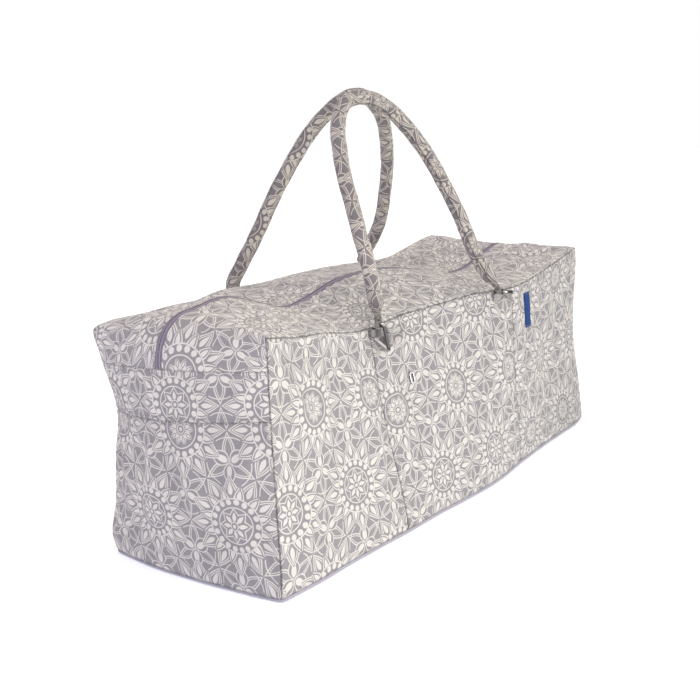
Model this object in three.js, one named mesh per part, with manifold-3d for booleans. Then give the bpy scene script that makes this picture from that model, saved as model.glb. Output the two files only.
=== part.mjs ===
// Yoga kit bag: a long soft bag of printed cotton with a plain base, a zip along the top that runs down
// both ends, and two padded rope handles on metal rings.
// Millimetres, +Z up. The base stands on z = 0, the length runs along X, the pocket side faces -Y.
import * as THREE from 'three';
import { mergeVertices } from 'three/addons/utils/BufferGeometryUtils.js';
import Module from 'manifold-3d';

// Cloth, seams and zip
const CLOTH = 2.0;
const SEAM_PULL = 0.2;
const SEAT_GAP = 0.35;
const BASE_RIM = 5.0;
const ZIP_HALF = 4.0;
const ZIP_REACH = 304;
const FRONT_FULLNESS = 4.0;
const BACK_FULLNESS = 9.0;
const TOP_CROWN = 5.0;
const NOSE_POWER = 0.94;

// Seams of the pocket panel, as a share of the length from the left end
const POCKET_LEFT = 0.292;
const POCKET_RIGHT = 0.667;

// Heights of the end seams, as a share of the way from the base rim to the top corner
const BAND_LOW = 0.675;
const BAND_TOP = 0.863;

// Handles, rings, tabs and small pieces
const ROPE_RADIUS = 8.3;
const STRAP_HALF_WIDTH = 4.4;
const STRAP_HALF_THICK = 2.2;
const STRAP_LENGTH = 8;
const TAPER_LENGTH = 15;
const EYE_RADIUS = 4.0;
const EYE_HOLE = 2.3;
const EYE_WIDTH = 6.5;
const RING_WIRE = 1.5;
const RING_CORNER = 3.2;
const TAB_WIDTH = 9.0;
const TAB_SHARE = 0.58;
const TAB_CLOTH = 1.5;
const LABEL_SIZE = { wide: 15, tall: 43, thick: 1.0 };
const PULL_SIZE = { wide: 9, tall: 14, thick: 1.8, slotWide: 3, slotTall: 8 };
const SLIDER_SIZE = { wide: 9, tall: 20, thick: 3.2 };

// How finely each stretch is cut
const CUTS = { left: 9, middle: 12, right: 11, endPanel: 7, endBand: 2, flap: 4, strip: 6 };
const ROPE_CUTS = { along: 28, round: 10 };
const WIRE_CUTS = { corner: 4, round: 6 };

// A table with named columns
function table(columns, rows) {
  return rows.map((row) => Object.fromEntries(columns.map((column, i) => [column, row[i]])));
}

// The long edges of the bag, a row per section. The top sags between the corners and the zip dips twice.
const SECTION_COLUMNS = ['share', 'baseFront', 'frontY', 'frontZ', 'zipZ', 'backY', 'backZ', 'baseBack'];
const SECTIONS = table(SECTION_COLUMNS, [
  [0.0, -118.5, -115.5, 249, 263, 113, 243, 113],
  [0.08, -124, -106, 238, 267, 114, 247, 121],
  [0.16, -126, -97, 231, 253, 115, 243, 126],
  [0.23, -130, -91, 222, 241, 115, 245, 129],
  [0.292, -133, -89, 218, 245, 114, 249, 131],
  [0.38, -135, -91, 222, 256, 111, 247, 133],
  [0.47, -140, -101, 224, 258, 106, 249, 134],
  [0.56, -142, -115, 227, 254, 101, 250, 134],
  [0.667, -135, -128, 224, 242, 97, 247, 133],
  [0.77, -130, -127, 228, 228, 99, 243, 131],
  [0.86, -128, -122, 234, 229, 105, 249, 127],
  [0.94, -126, -118, 240, 241, 113, 254, 122],
  [1.0, -117, -116, 246, 248, 118, 258, 116],
]);

// The two ends, a row per height: the front and back corner seams and the middle, which bulges outward.
const END_COLUMNS = ['rise', 'frontX', 'frontY', 'frontZ', 'midX', 'midZ', 'backX', 'backY', 'backZ'];
const LEFT_END = table(END_COLUMNS, [
  [0.0, -337, -118.5, 5, -345, 5, -333, 114, 5],
  [0.226, -333, -117, 60, -350, 58, -335, 110, 58],
  [0.453, -331, -116, 115, -353, 111, -331, 101, 110],
  [0.675, -330, -116, 171, -353, 164, -326, 95, 158],
  [0.863, -328, -115.5, 217, -352, 214, -330, 104, 206],
  [1.0, -326, -115.5, 249, -352, 250, -332, 113, 243],
]);
const RIGHT_END = table(END_COLUMNS, [
  [0.0, 336, -117, 5, 343, 5, 332, 116, 5],
  [0.226, 327, -116, 60, 349, 60, 331, 117, 60],
  [0.453, 320, -113, 114, 352, 115, 330, 117, 117],
  [0.675, 321, -113, 167, 352, 166, 328, 117, 173],
  [0.863, 325, -115, 212, 351, 211, 325, 118, 221],
  [1.0, 328, -116, 246, 351, 246, 322, 118, 258],
]);

// Soft hollows pressed into the long sides: where, how wide and how deep
const HOLLOWS = [
  { side: 'front', share: 0.17, rise: 0.78, wide: 0.07, tall: 0.22, deep: 6 },
  { side: 'front', share: 0.30, rise: 0.55, wide: 0.035, tall: 0.3, deep: 4 },
  { side: 'front', share: 0.50, rise: 0.72, wide: 0.08, tall: 0.2, deep: 5 },
  { side: 'front', share: 0.83, rise: 0.5, wide: 0.05, tall: 0.3, deep: 7 },
  { side: 'back', share: 0.34, rise: 0.6, wide: 0.09, tall: 0.25, deep: 7 },
  { side: 'back', share: 0.71, rise: 0.55, wide: 0.08, tall: 0.3, deep: 6 },
];

// Handle centre lines from one ring to the other
const FRONT_ROPE = [
  { x: -134.5, y: -103, z: 220 },
  { x: -127, y: -95, z: 236 },
  { x: -115, y: -84, z: 253 },
  { x: -106, y: -71, z: 283 },
  { x: -99, y: -52, z: 334 },
  { x: -89, y: -32, z: 386 },
  { x: -75, y: -19, z: 426 },
  { x: -53, y: -13, z: 450 },
  { x: -25, y: -14, z: 457 },
  { x: 4, y: -22, z: 450 },
  { x: 35, y: -41, z: 416 },
  { x: 53, y: -61, z: 373 },
  { x: 63, y: -86, z: 316 },
  { x: 62, y: -110, z: 264 },
  { x: 57, y: -127, z: 245 },
  { x: 69, y: -134, z: 226 },
];
const BACK_ROPE = [
  { x: -103, y: 127, z: 236 },
  { x: -104, y: 125, z: 253 },
  { x: -107, y: 110, z: 273 },
  { x: -105, y: 92, z: 299 },
  { x: -91, y: 69, z: 349 },
  { x: -72, y: 50, z: 392 },
  { x: -44, y: 31, z: 433 },
  { x: -7, y: 20, z: 457 },
  { x: 18, y: 19, z: 461 },
  { x: 41, y: 20, z: 456 },
  { x: 73, y: 26, z: 438 },
  { x: 99, y: 37, z: 405 },
  { x: 117, y: 53, z: 359 },
  { x: 122, y: 70, z: 311 },
  { x: 124, y: 85, z: 284 },
  { x: 129, y: 102, z: 265 },
  { x: 131, y: 110, z: 250 },
  { x: 131, y: 112, z: 234 },
];

// The four rings, a row each: where the tab holds the heel, the way from the heel to the handle's bar,
// the bar itself, and the far corner. Out is away from the bag. The tab sits at a share of the side from
// heel to bar, and its tongue lies to one side of it or the other.
const RINGS = [
  { name: 'front_left', side: 'front', share: POCKET_LEFT, rise: 0.945,
    toBarX: 2, toBarOut: -1.2, toBarUp: 13, barX: 0, barOut: 12.6, barUp: 3, toe: 19, toeDrop: 16,
    tabAt: 0.42, tabSide: 1, tongue: 17 },
  { name: 'front_right', side: 'front', share: 0.6255, rise: 0.988,
    toBarX: -12.7, toBarOut: -2, toBarUp: 2.5, barX: -1.2, barOut: 16, barUp: 0.3, toe: 16, toeDrop: 0,
    tabAt: 0.5, tabSide: -1, tongue: 13 },
  { name: 'back_left', side: 'back', share: 0.345, rise: 0.88, toBarX: 0, toBarOut: 0.5, toBarUp: 13,
    barX: 0, barOut: 11.3, barUp: 6.5, toe: 22, toeDrop: 9, tabAt: 0.5, tabSide: 1, tongue: 13 },
  { name: 'back_right', side: 'back', share: 0.707, rise: 0.88, toBarX: 0, toBarOut: 0.5, toBarUp: 13,
    barX: 0, barOut: 11.3, barUp: 6.5, toe: 22, toeDrop: 9, tabAt: 0.5, tabSide: 1, tongue: 13 },
];

// Colours
const PRINT = { color: 0xc4bdbd, roughness: 0.92, metalness: 0.0 };
const PRINT_END = { color: 0xb9b0ba, roughness: 0.92, metalness: 0.0 };
const PLAIN = { color: 0xa9a5be, roughness: 0.92, metalness: 0.0 };
const ZIP_TAPE = { color: 0x857a8c, roughness: 0.7, metalness: 0.0 };
const METAL = { color: 0xc9cacc, roughness: 0.25, metalness: 1.0 };
const LABEL_BLUE = { color: 0x2d5796, roughness: 0.7, metalness: 0.0 };

const point = (x, y, z) => new THREE.Vector3(x, y, z);
const mix = (a, b, t) => a + (b - a) * t;

// A smooth curve through one column of a table, read at any place along the key column
function follow(rows, key, column, at) {
  let i = 0;
  while (i < rows.length - 2 && at > rows[i + 1][key]) i += 1;
  const slope = (j) => {
    const a = rows[Math.max(0, j - 1)];
    const b = rows[Math.min(rows.length - 1, j + 1)];
    return (b[column] - a[column]) / (b[key] - a[key]);
  };
  const span = rows[i + 1][key] - rows[i][key];
  const t = (at - rows[i][key]) / span;
  const start = rows[i][column] * (1 + 2 * t) * (1 - t) ** 2 + slope(i) * span * t * (1 - t) ** 2;
  const end = rows[i + 1][column] * t * t * (3 - 2 * t) + slope(i + 1) * span * t * t * (t - 1);
  return start + end;
}

function corner(rows, side, rise) {
  const at = (column) => follow(rows, 'rise', `${side}${column}`, rise);
  return point(at('X'), at('Y'), at('Z'));
}

// A point of the long front or back wall
function wallPoint(side, share, rise) {
  const front = side === 'front';
  const sheet = (f) => {
    const left = corner(LEFT_END, side, rise);
    const right = corner(RIGHT_END, side, rise);
    const low = follow(SECTIONS, 'share', front ? 'baseFront' : 'baseBack', f);
    const high = follow(SECTIONS, 'share', `${side}Y`, f);
    const top = follow(SECTIONS, 'share', `${side}Z`, f);
    return point(mix(left.x, right.x, f), mix(low, high, rise), mix(BASE_RIM, top, rise));
  };
  const p = sheet(share);
  const toLeft = corner(LEFT_END, side, rise).sub(sheet(0)).multiplyScalar((1 - share) ** 6);
  const toRight = corner(RIGHT_END, side, rise).sub(sheet(1)).multiplyScalar(share ** 6);
  p.add(toLeft).add(toRight);
  const outward = front ? -1 : 1;
  const fullness = front ? FRONT_FULLNESS : BACK_FULLNESS;
  const free = Math.sin(Math.PI * rise) * Math.sin(Math.PI * share);
  p.y += outward * fullness * free;
  for (const hollow of HOLLOWS.filter((row) => row.side === side)) {
    const across = (share - hollow.share) / hollow.wide;
    const upward = (rise - hollow.rise) / hollow.tall;
    p.y -= outward * hollow.deep * Math.exp(-across * across - upward * upward) * Math.sqrt(free);
  }
  return p;
}

// A point between a corner seam and the middle of an end, swelling outward
function endPoint(rows, side, rise, t) {
  const edge = corner(rows, side, rise);
  const midX = follow(rows, 'rise', 'midX', rise);
  const midZ = follow(rows, 'rise', 'midZ', rise);
  const middle = point(midX, side === 'front' ? -ZIP_HALF : ZIP_HALF, midZ);
  const swell = (middle.x - edge.x) * t * (1 - t);
  return edge.lerp(middle, t).add(point(swell, 0, 0));
}

// Shares and heights at which the cloth is cut into facets
function steps(from, to, count) {
  return Array.from({ length: count + 1 }, (_, i) => mix(from, to, i / count));
}
const leftShares = steps(0, POCKET_LEFT, CUTS.left);
const middleShares = steps(POCKET_LEFT, POCKET_RIGHT, CUTS.middle);
const rightShares = steps(POCKET_RIGHT, 1, CUTS.right);
const allShares = [...leftShares, ...middleShares.slice(1), ...rightShares.slice(1)];
const panelRises = steps(0, BAND_LOW, CUTS.endPanel);
const bandRises = steps(BAND_LOW, BAND_TOP, CUTS.endBand);
const flapRises = steps(BAND_TOP, 1, CUTS.flap);
const allRises = [...panelRises, ...bandRises.slice(1), ...flapRises.slice(1)];
const stripSteps = steps(0, 1, CUTS.strip);

// The zip line: up the rounded nose of one end, along the sagging top, down the other nose
function zipNose(rows, sign, rise) {
  const turn = (rise - BAND_TOP) / (1 - BAND_TOP) * Math.PI / 2;
  const foot = { x: follow(rows, 'rise', 'midX', BAND_TOP), z: follow(rows, 'rise', 'midZ', BAND_TOP) };
  const crest = follow(SECTIONS, 'share', 'zipZ', sign < 0 ? 0 : 1);
  const out = Math.cos(turn) ** NOSE_POWER;
  const up = Math.sin(turn) ** NOSE_POWER;
  return point(mix(sign * ZIP_REACH, foot.x, turn >= Math.PI / 2 ? 0 : out), 0, mix(foot.z, crest, up));
}
function zipTop(share) {
  return point(mix(-ZIP_REACH, ZIP_REACH, share), 0, follow(SECTIONS, 'share', 'zipZ', share));
}
const zipLine = [
  ...flapRises.slice(0, -1).map((rise) => zipNose(LEFT_END, -1, rise)),
  ...allShares.map((share) => zipTop(share)),
  ...flapRises.slice(0, -1).reverse().map((rise) => zipNose(RIGHT_END, 1, rise)),
];

// The outer edge of a top strip: up the corner seam, along the top seam, down the far corner seam
function stripEdge(side) {
  return [
    ...flapRises.slice(0, -1).map((rise) => corner(LEFT_END, side, rise)),
    ...allShares.map((share) => wallPoint(side, share, 1)),
    ...flapRises.slice(0, -1).reverse().map((rise) => corner(RIGHT_END, side, rise)),
  ];
}

// One top strip as rows of points from its outer edge to the zip
function stripGrid(side) {
  const edge = stripEdge(side);
  const y = side === 'front' ? -ZIP_HALF : ZIP_HALF;
  return zipLine.map((zip, i) => {
    const before = zipLine[Math.max(0, i - 1)];
    const after = zipLine[Math.min(zipLine.length - 1, i + 1)];
    const run = after.clone().sub(before).normalize();
    const outward = point(-run.z, 0, run.x);
    const onEnd = i === 0 || i === zipLine.length - 1;
    const inner = point(zip.x, y, zip.z);
    return stripSteps.map((t) => {
      if (onEnd) return endPoint(i === 0 ? LEFT_END : RIGHT_END, side, BAND_TOP, t);
      const crown = outward.clone().multiplyScalar(TOP_CROWN * 4 * t * (1 - t));
      return edge[i].clone().lerp(inner, t).add(crown);
    });
  });
}

function wallGrid(side, shares) {
  return allRises.map((rise) => shares.map((share) => wallPoint(side, share, rise)));
}

function endGrid(rows, rises) {
  return rises.map((rise) => [
    ...stripSteps.map((t) => endPoint(rows, 'front', rise, t)),
    ...[...stripSteps].reverse().map((t) => endPoint(rows, 'back', rise, t)),
  ]);
}

const zipGrid = zipLine.map((zip) => [point(zip.x, -ZIP_HALF, zip.z), point(zip.x, ZIP_HALF, zip.z)]);

// Every cloth panel as a grid of points on its outer face
const PANELS = [
  { name: 'front_left_panel', grid: wallGrid('front', leftShares), look: PRINT, flip: false },
  { name: 'front_pocket_panel', grid: wallGrid('front', middleShares), look: PRINT, flip: false },
  { name: 'front_right_panel', grid: wallGrid('front', rightShares), look: PRINT, flip: false },
  { name: 'back_panel', grid: wallGrid('back', allShares), look: PRINT, flip: true },
  { name: 'left_end_panel', grid: endGrid(LEFT_END, panelRises), look: PRINT_END, flip: true },
  { name: 'left_end_band', grid: endGrid(LEFT_END, bandRises), look: PRINT_END, flip: true },
  { name: 'right_end_panel', grid: endGrid(RIGHT_END, panelRises), look: PRINT_END, flip: false },
  { name: 'right_end_band', grid: endGrid(RIGHT_END, bandRises), look: PRINT_END, flip: false },
  { name: 'top_front_strip', grid: stripGrid('front'), look: PRINT, flip: true },
  { name: 'top_back_strip', grid: stripGrid('back'), look: PRINT, flip: false },
  { name: 'zip_tape', grid: zipGrid, look: ZIP_TAPE, flip: true },
];

// The outer faces joined along their seams, so that neighbouring panels share one mitred corner
const key = (p) => [p.x, p.y, p.z].map((v) => Math.round(v * 100)).join(',');
const joined = new Map();
function seamVertex(p) {
  const id = key(p);
  if (!joined.has(id)) joined.set(id, { p: p.clone(), normals: [], inward: null });
  return joined.get(id);
}
function faceNormal(a, b, c) {
  return b.clone().sub(a).cross(c.clone().sub(a)).normalize();
}
for (const panel of PANELS) {
  panel.cells = panel.grid.map((row) => row.map((p) => seamVertex(p)));
  panel.faces = [];
  for (let r = 0; r + 1 < panel.cells.length; r += 1) {
    for (let c = 0; c + 1 < panel.cells[0].length; c += 1) {
      const low = panel.cells[r];
      const high = panel.cells[r + 1];
      const quad = [low[c], low[c + 1], high[c + 1], high[c]];
      if (panel.flip) quad.reverse();
      const short = quad[0].p.distanceTo(quad[2].p) <= quad[1].p.distanceTo(quad[3].p);
      const [a, b, d, e] = short ? quad : [quad[1], quad[2], quad[3], quad[0]];
      panel.faces.push([a, b, d], [a, d, e]);
    }
  }
  for (const face of panel.faces) {
    const normal = faceNormal(...face.map((v) => v.p));
    for (const vertex of face) vertex.normals.push(normal);
  }
}

// The inside of the cloth lies one thickness behind every face that meets at a point
for (const vertex of joined.values()) {
  const mean = vertex.normals.reduce((sum, n) => sum.add(n), point(0, 0, 0)).normalize();
  const inward = mean.multiplyScalar(-CLOTH);
  for (let pass = 0; pass < 40; pass += 1) {
    for (const n of vertex.normals) inward.addScaledVector(n, (-CLOTH - n.dot(inward)) * 0.5);
  }
  if (vertex.p.z < BASE_RIM + 0.01) inward.z = 0;
  vertex.inward = inward;
}

function meshFrom(name, positions, indices, look) {
  const geometry = new THREE.BufferGeometry();
  geometry.setAttribute('position', new THREE.Float32BufferAttribute(positions, 3));
  geometry.setIndex(indices);
  geometry.computeVertexNormals();
  const mesh = new THREE.Mesh(geometry, new THREE.MeshStandardMaterial(look));
  mesh.name = name;
  return mesh;
}

// A cloth panel: its outer face, its inner face and the cut edges, drawn back a little from every seam
function clothPanel(panel) {
  const edges = new Map();
  for (const face of panel.faces) {
    face.forEach((a, i) => {
      const b = face[(i + 1) % 3];
      edges.set(`${key(a.p)}|${key(b.p)}`, { a, b, face });
    });
  }
  const border = [...edges.values()].filter(({ a, b }) => !edges.has(`${key(b.p)}|${key(a.p)}`));
  const pulls = new Map();
  for (const { a, b, face } of border) {
    const normal = faceNormal(...face.map((v) => v.p));
    const inside = normal.cross(b.p.clone().sub(a.p)).normalize();
    for (const vertex of [a, b]) {
      if (!pulls.has(vertex)) pulls.set(vertex, []);
      pulls.get(vertex).push(inside);
    }
  }
  const order = new Map();
  const outer = [];
  const inner = [];
  for (const vertex of new Set(panel.faces.flat())) {
    order.set(vertex, order.size);
    const pull = point(0, 0, 0);
    const sides = pulls.get(vertex) ?? [];
    for (let pass = 0; pass < 30; pass += 1) {
      for (const side of sides) pull.addScaledVector(side, (SEAM_PULL - side.dot(pull)) * 0.5);
    }
    const face = vertex.p.clone().add(pull);
    outer.push(...face.toArray());
    inner.push(...face.clone().add(vertex.inward).toArray());
  }
  const count = order.size;
  const indices = [];
  for (const face of panel.faces) {
    const [a, b, c] = face.map((v) => order.get(v));
    indices.push(a, b, c, count + a, count + c, count + b);
  }
  for (const { a, b } of border) {
    const i = order.get(a);
    const j = order.get(b);
    indices.push(j, i, count + i, j, count + i, count + j);
  }
  return meshFrom(panel.name, [...outer, ...inner], indices, panel.look);
}

// The base: a flat floor with a low rim round its edge
function basePanel() {
  const edge = (rows, half) => stripSteps.map((t) => endPoint(rows, half, 0, t));
  const front = allShares.map((share) => wallPoint('front', share, 0));
  const back = allShares.map((share) => wallPoint('back', share, 0)).reverse();
  const right = [...edge(RIGHT_END, 'front'), ...edge(RIGHT_END, 'back').reverse()];
  const left = [...edge(LEFT_END, 'back'), ...edge(LEFT_END, 'front').reverse()];
  const loop = [...front.slice(0, -1), ...right.slice(0, -1), ...back.slice(0, -1), ...left.slice(0, -1)];
  const outline = loop.map((p) => new THREE.Vector2(p.x, p.y));
  const inset = outline.map((p, i) => {
    const before = outline[(i + outline.length - 1) % outline.length];
    const after = outline[(i + 1) % outline.length];
    const middle = new THREE.Vector2();
    const turn = (from, to) => to.clone().sub(from).normalize().rotateAround(middle, Math.PI / 2);
    const a = turn(before, p);
    const b = turn(p, after);
    return p.clone().addScaledVector(a.clone().add(b), CLOTH / (1 + a.dot(b)));
  });
  const rings = [
    { line: outline, z: 0 },
    { line: outline, z: BASE_RIM - SEAM_PULL },
    { line: inset, z: BASE_RIM - SEAM_PULL },
    { line: inset, z: CLOTH },
  ];
  const n = outline.length;
  const positions = rings.flatMap(({ line, z }) => line.flatMap((p) => [p.x, p.y, z]));
  const indices = [];
  for (let ring = 0; ring < 3; ring += 1) {
    for (let i = 0; i < n; i += 1) {
      const a = ring * n + i;
      const b = ring * n + (i + 1) % n;
      indices.push(a, b, b + n, a, b + n, a + n);
    }
  }
  for (const [a, b, c] of THREE.ShapeUtils.triangulateShape(outline, [])) indices.push(a, c, b);
  for (const [a, b, c] of THREE.ShapeUtils.triangulateShape(inset, [])) {
    indices.push(3 * n + a, 3 * n + b, 3 * n + c);
  }
  return meshFrom('base_panel', positions, indices, PLAIN);
}

// Rings of points joined into a closed skin; a loop joins its last ring to its first
function skin(rings, loop) {
  const round = rings[0].length;
  const positions = rings.flat().flatMap((p) => p.toArray());
  const indices = [];
  const last = loop ? rings.length : rings.length - 1;
  for (let r = 0; r < last; r += 1) {
    for (let c = 0; c < round; c += 1) {
      const a = r * round + c;
      const b = r * round + (c + 1) % round;
      const up = ((r + 1) % rings.length) * round;
      const d = up + (c + 1) % round;
      const e = up + c;
      indices.push(a, b, d, a, d, e);
    }
  }
  if (!loop) {
    const top = (rings.length - 1) * round;
    for (let c = 1; c + 1 < round; c += 1) {
      indices.push(0, c + 1, c);
      indices.push(top, top + c, top + c + 1);
    }
  }
  return { positions, indices };
}

const wasm = await Module();
wasm.setup();

function solid({ positions, indices }) {
  const made = new wasm.Mesh({
    numProp: 3,
    vertProperties: new Float32Array(positions),
    triVerts: new Uint32Array(indices),
  });
  made.merge();
  return new wasm.Manifold(made);
}

function solidOf(geometry) {
  const bare = geometry.clone();
  bare.deleteAttribute('normal');
  bare.deleteAttribute('uv');
  const welded = mergeVertices(bare, 1e-3);
  return solid({ positions: welded.attributes.position.array, indices: welded.index.array });
}

function meshOf(name, made, look) {
  const { vertProperties, triVerts } = made.getMesh();
  return meshFrom(name, Array.from(vertProperties), Array.from(triVerts), look);
}

// An orientation whose X, Y and Z follow three given directions, at a place
function placeAt(origin, xAxis, yAxis, zAxis) {
  return new THREE.Matrix4().makeBasis(xAxis, yAxis, zAxis).setPosition(origin);
}

// The outward direction of a long wall at a place
function wallNormal(side, share, rise) {
  const small = 0.004;
  const along = wallPoint(side, share + small, rise).sub(wallPoint(side, share - small, rise));
  const up = wallPoint(side, share, rise).sub(wallPoint(side, share, rise - 2 * small));
  const normal = along.cross(up).normalize();
  return side === 'front' ? normal : normal.negate();
}

// The corners of a ring: the two ends of the handle's bar, the heel held by the tab, and the toe
function ringCorners(ring) {
  const seat = wallPoint(ring.side, ring.share, ring.rise);
  const outward = wallNormal(ring.side, ring.share, ring.rise);
  const way = Math.sign(outward.y);
  const heel = seat.clone().addScaledVector(outward, EYE_RADIUS + SEAT_GAP);
  const barIn = heel.clone().add(point(ring.toBarX, way * ring.toBarOut, ring.toBarUp));
  const barOut = barIn.clone().add(point(ring.barX, way * ring.barOut, ring.barUp));
  const across = barOut.clone().sub(barIn).normalize();
  const along = barIn.clone().sub(heel).normalize();
  const toe = heel.clone().addScaledVector(across, ring.toe).addScaledVector(along, -ring.toeDrop);
  return { heel, barIn, barOut, toe, outward };
}

// A ring of round wire with rounded corners
function wireRing(ring) {
  const { heel, barIn, barOut, toe } = ringCorners(ring);
  const corners = [heel, toe, barOut, barIn];
  const line = corners.flatMap((p, i) => {
    const before = corners[(i + 3) % 4].clone().sub(p);
    const after = corners[(i + 1) % 4].clone().sub(p);
    const reach = Math.min(RING_CORNER, before.length() * 0.4, after.length() * 0.4);
    const from = p.clone().addScaledVector(before.normalize(), reach);
    const to = p.clone().addScaledVector(after.normalize(), reach);
    const bend = new THREE.QuadraticBezierCurve3(from, p, to);
    return bend.getPoints(WIRE_CUTS.corner - 1);
  });
  const across = barIn.clone().sub(heel).cross(toe.clone().sub(heel)).normalize();
  const rings = line.map((p, i) => {
    const before = line[(i + line.length - 1) % line.length];
    const after = line[(i + 1) % line.length];
    const run = after.clone().sub(before).normalize();
    const aside = across.clone().cross(run).normalize();
    return Array.from({ length: WIRE_CUTS.round }, (_, k) => {
      const turn = (k + 0.5) / WIRE_CUTS.round * Math.PI * 2;
      const flank = aside.clone().multiplyScalar(Math.cos(turn) * RING_WIRE);
      return p.clone().add(flank).addScaledVector(across, Math.sin(turn) * RING_WIRE);
    });
  });
  const { positions, indices } = skin(rings, true);
  return meshFrom(`${ring.name}_ring`, positions, indices, METAL);
}

// A cloth tab folded round the heel side of a ring, its tongue lying on the wall
function clothTab(ring) {
  const { heel, barIn, outward } = ringCorners(ring);
  const reach = barIn.distanceTo(heel);
  const along = barIn.clone().sub(heel).normalize();
  const run = along.clone().multiplyScalar(ring.tabSide);
  const aside = outward.clone().cross(run).normalize();
  const lift = run.clone().cross(aside).normalize();
  const shape = new THREE.Shape();
  const tongueTop = -EYE_RADIUS + TAB_CLOTH;
  const meet = Math.sqrt(EYE_RADIUS ** 2 - tongueTop ** 2);
  shape.moveTo(-ring.tongue, -EYE_RADIUS);
  shape.lineTo(0, -EYE_RADIUS);
  shape.absarc(0, 0, EYE_RADIUS, -Math.PI / 2, Math.PI + Math.asin(-tongueTop / EYE_RADIUS), false);
  shape.lineTo(-meet, tongueTop);
  shape.lineTo(-ring.tongue, tongueTop);
  const hole = new THREE.Path();
  hole.absarc(0, 0, EYE_HOLE, 0, Math.PI * 2, true);
  shape.holes.push(hole);
  const width = Math.min(TAB_WIDTH, reach * TAB_SHARE);
  const geometry = new THREE.ExtrudeGeometry(shape, { depth: width, bevelEnabled: false, curveSegments: 5 });
  const start = heel.clone().addScaledVector(along, reach * ring.tabAt).addScaledVector(run, -width * 0.5);
  geometry.applyMatrix4(placeAt(start, aside, lift, run));
  return meshOf(`${ring.name}_tab`, solidOf(geometry), PLAIN);
}

// A padded rope that narrows to a strap at each end; each strap closes in an eye round its ring's bar
function ropeHandle(name, rows, startRing, endRing) {
  const first = ringCorners(startRing);
  const last = ringCorners(endRing);
  const mid = ({ barIn, barOut }) => barIn.clone().add(barOut).multiplyScalar(0.5);
  const knots = rows.map(({ x, y, z }) => point(x, y, z));
  knots[0] = mid(first);
  knots[knots.length - 1] = mid(last);
  const line = new THREE.CatmullRomCurve3(knots, false, 'centripetal');
  const total = line.getLength();
  const ends = [
    { axis: first.barOut.clone().sub(first.barIn).normalize(), from: 0 },
    { axis: last.barOut.clone().sub(last.barIn).normalize(), from: total },
  ];
  const tail = EYE_RADIUS * 0.86;
  const strapEnd = tail + STRAP_LENGTH;
  const marks = [tail, tail + STRAP_LENGTH * 0.5, strapEnd, strapEnd + TAPER_LENGTH * 0.5];
  const fromEnd = strapEnd + TAPER_LENGTH;
  const middleRun = steps(fromEnd, total - fromEnd, ROPE_CUTS.along);
  const stops = [...marks, ...middleRun, ...marks.map((m) => total - m).reverse()];
  let aside = ends[0].axis.clone();
  const rings = stops.map((s) => {
    const u = s / total;
    const p = line.getPointAt(u);
    const run = line.getTangentAt(u);
    const near = s < total / 2 ? ends[0] : ends[1];
    const away = Math.abs(s - near.from) - tail - STRAP_LENGTH;
    const t = THREE.MathUtils.smoothstep(away, 0, TAPER_LENGTH);
    aside = aside.clone().addScaledVector(run, -aside.dot(run)).normalize();
    if (s > total / 2) {
      const strapWay = near.axis.clone().addScaledVector(run, -near.axis.dot(run)).normalize();
      if (strapWay.dot(aside) < 0) strapWay.negate();
      const turned = 1 - THREE.MathUtils.smoothstep(total - s, 0, total * 0.45);
      aside.lerp(strapWay, turned).normalize();
    }
    const flank = aside;
    const up = run.clone().cross(flank).normalize();
    const wide = mix(STRAP_HALF_WIDTH, ROPE_RADIUS, t);
    const thick = mix(STRAP_HALF_THICK, ROPE_RADIUS, t);
    return Array.from({ length: ROPE_CUTS.round }, (_, k) => {
      const turn = k / ROPE_CUTS.round * Math.PI * 2;
      const q = p.clone().addScaledVector(flank, Math.cos(turn) * wide);
      return q.addScaledVector(up, Math.sin(turn) * thick);
    });
  });
  let made = solid(skin(rings, false));
  for (const { axis, from } of ends) {
    const at = line.getPointAt(from / total);
    const run = line.getTangentAt(from / total);
    const shape = new THREE.Shape();
    shape.absarc(0, 0, EYE_RADIUS, 0, Math.PI * 2, false);
    const hole = new THREE.Path();
    hole.absarc(0, 0, EYE_HOLE, 0, Math.PI * 2, true);
    shape.holes.push(hole);
    const cut = { depth: EYE_WIDTH, bevelEnabled: false, curveSegments: 6 };
    const geometry = new THREE.ExtrudeGeometry(shape, cut);
    geometry.translate(0, 0, -EYE_WIDTH / 2);
    const flat = run.clone().addScaledVector(axis, -run.dot(axis)).normalize();
    geometry.applyMatrix4(placeAt(at, flat, axis.clone().cross(flat), axis));
    made = made.add(solidOf(geometry));
  }
  return meshOf(name, made, PRINT);
}

// A thin plate with rounded corners lying on a surface, with an optional slot
function plate(name, { wide, tall, thick, slotWide, slotTall }, origin, aside, up, outward, look) {
  const rounded = (target, w, h, r) => {
    target.moveTo(-w / 2 + r, -h / 2);
    target.lineTo(w / 2 - r, -h / 2);
    target.quadraticCurveTo(w / 2, -h / 2, w / 2, -h / 2 + r);
    target.lineTo(w / 2, h / 2 - r);
    target.quadraticCurveTo(w / 2, h / 2, w / 2 - r, h / 2);
    target.lineTo(-w / 2 + r, h / 2);
    target.quadraticCurveTo(-w / 2, h / 2, -w / 2, h / 2 - r);
    target.lineTo(-w / 2, -h / 2 + r);
    target.quadraticCurveTo(-w / 2, -h / 2, -w / 2 + r, -h / 2);
    return target;
  };
  const shape = rounded(new THREE.Shape(), wide, tall, Math.min(wide, tall) * 0.2);
  if (slotWide) shape.holes.push(rounded(new THREE.Path(), slotWide, slotTall, slotWide * 0.4));
  const geometry = new THREE.ExtrudeGeometry(shape, { depth: thick, bevelEnabled: false, curveSegments: 3 });
  geometry.applyMatrix4(placeAt(origin, aside, up, outward));
  return meshOf(name, solidOf(geometry), look);
}

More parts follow.
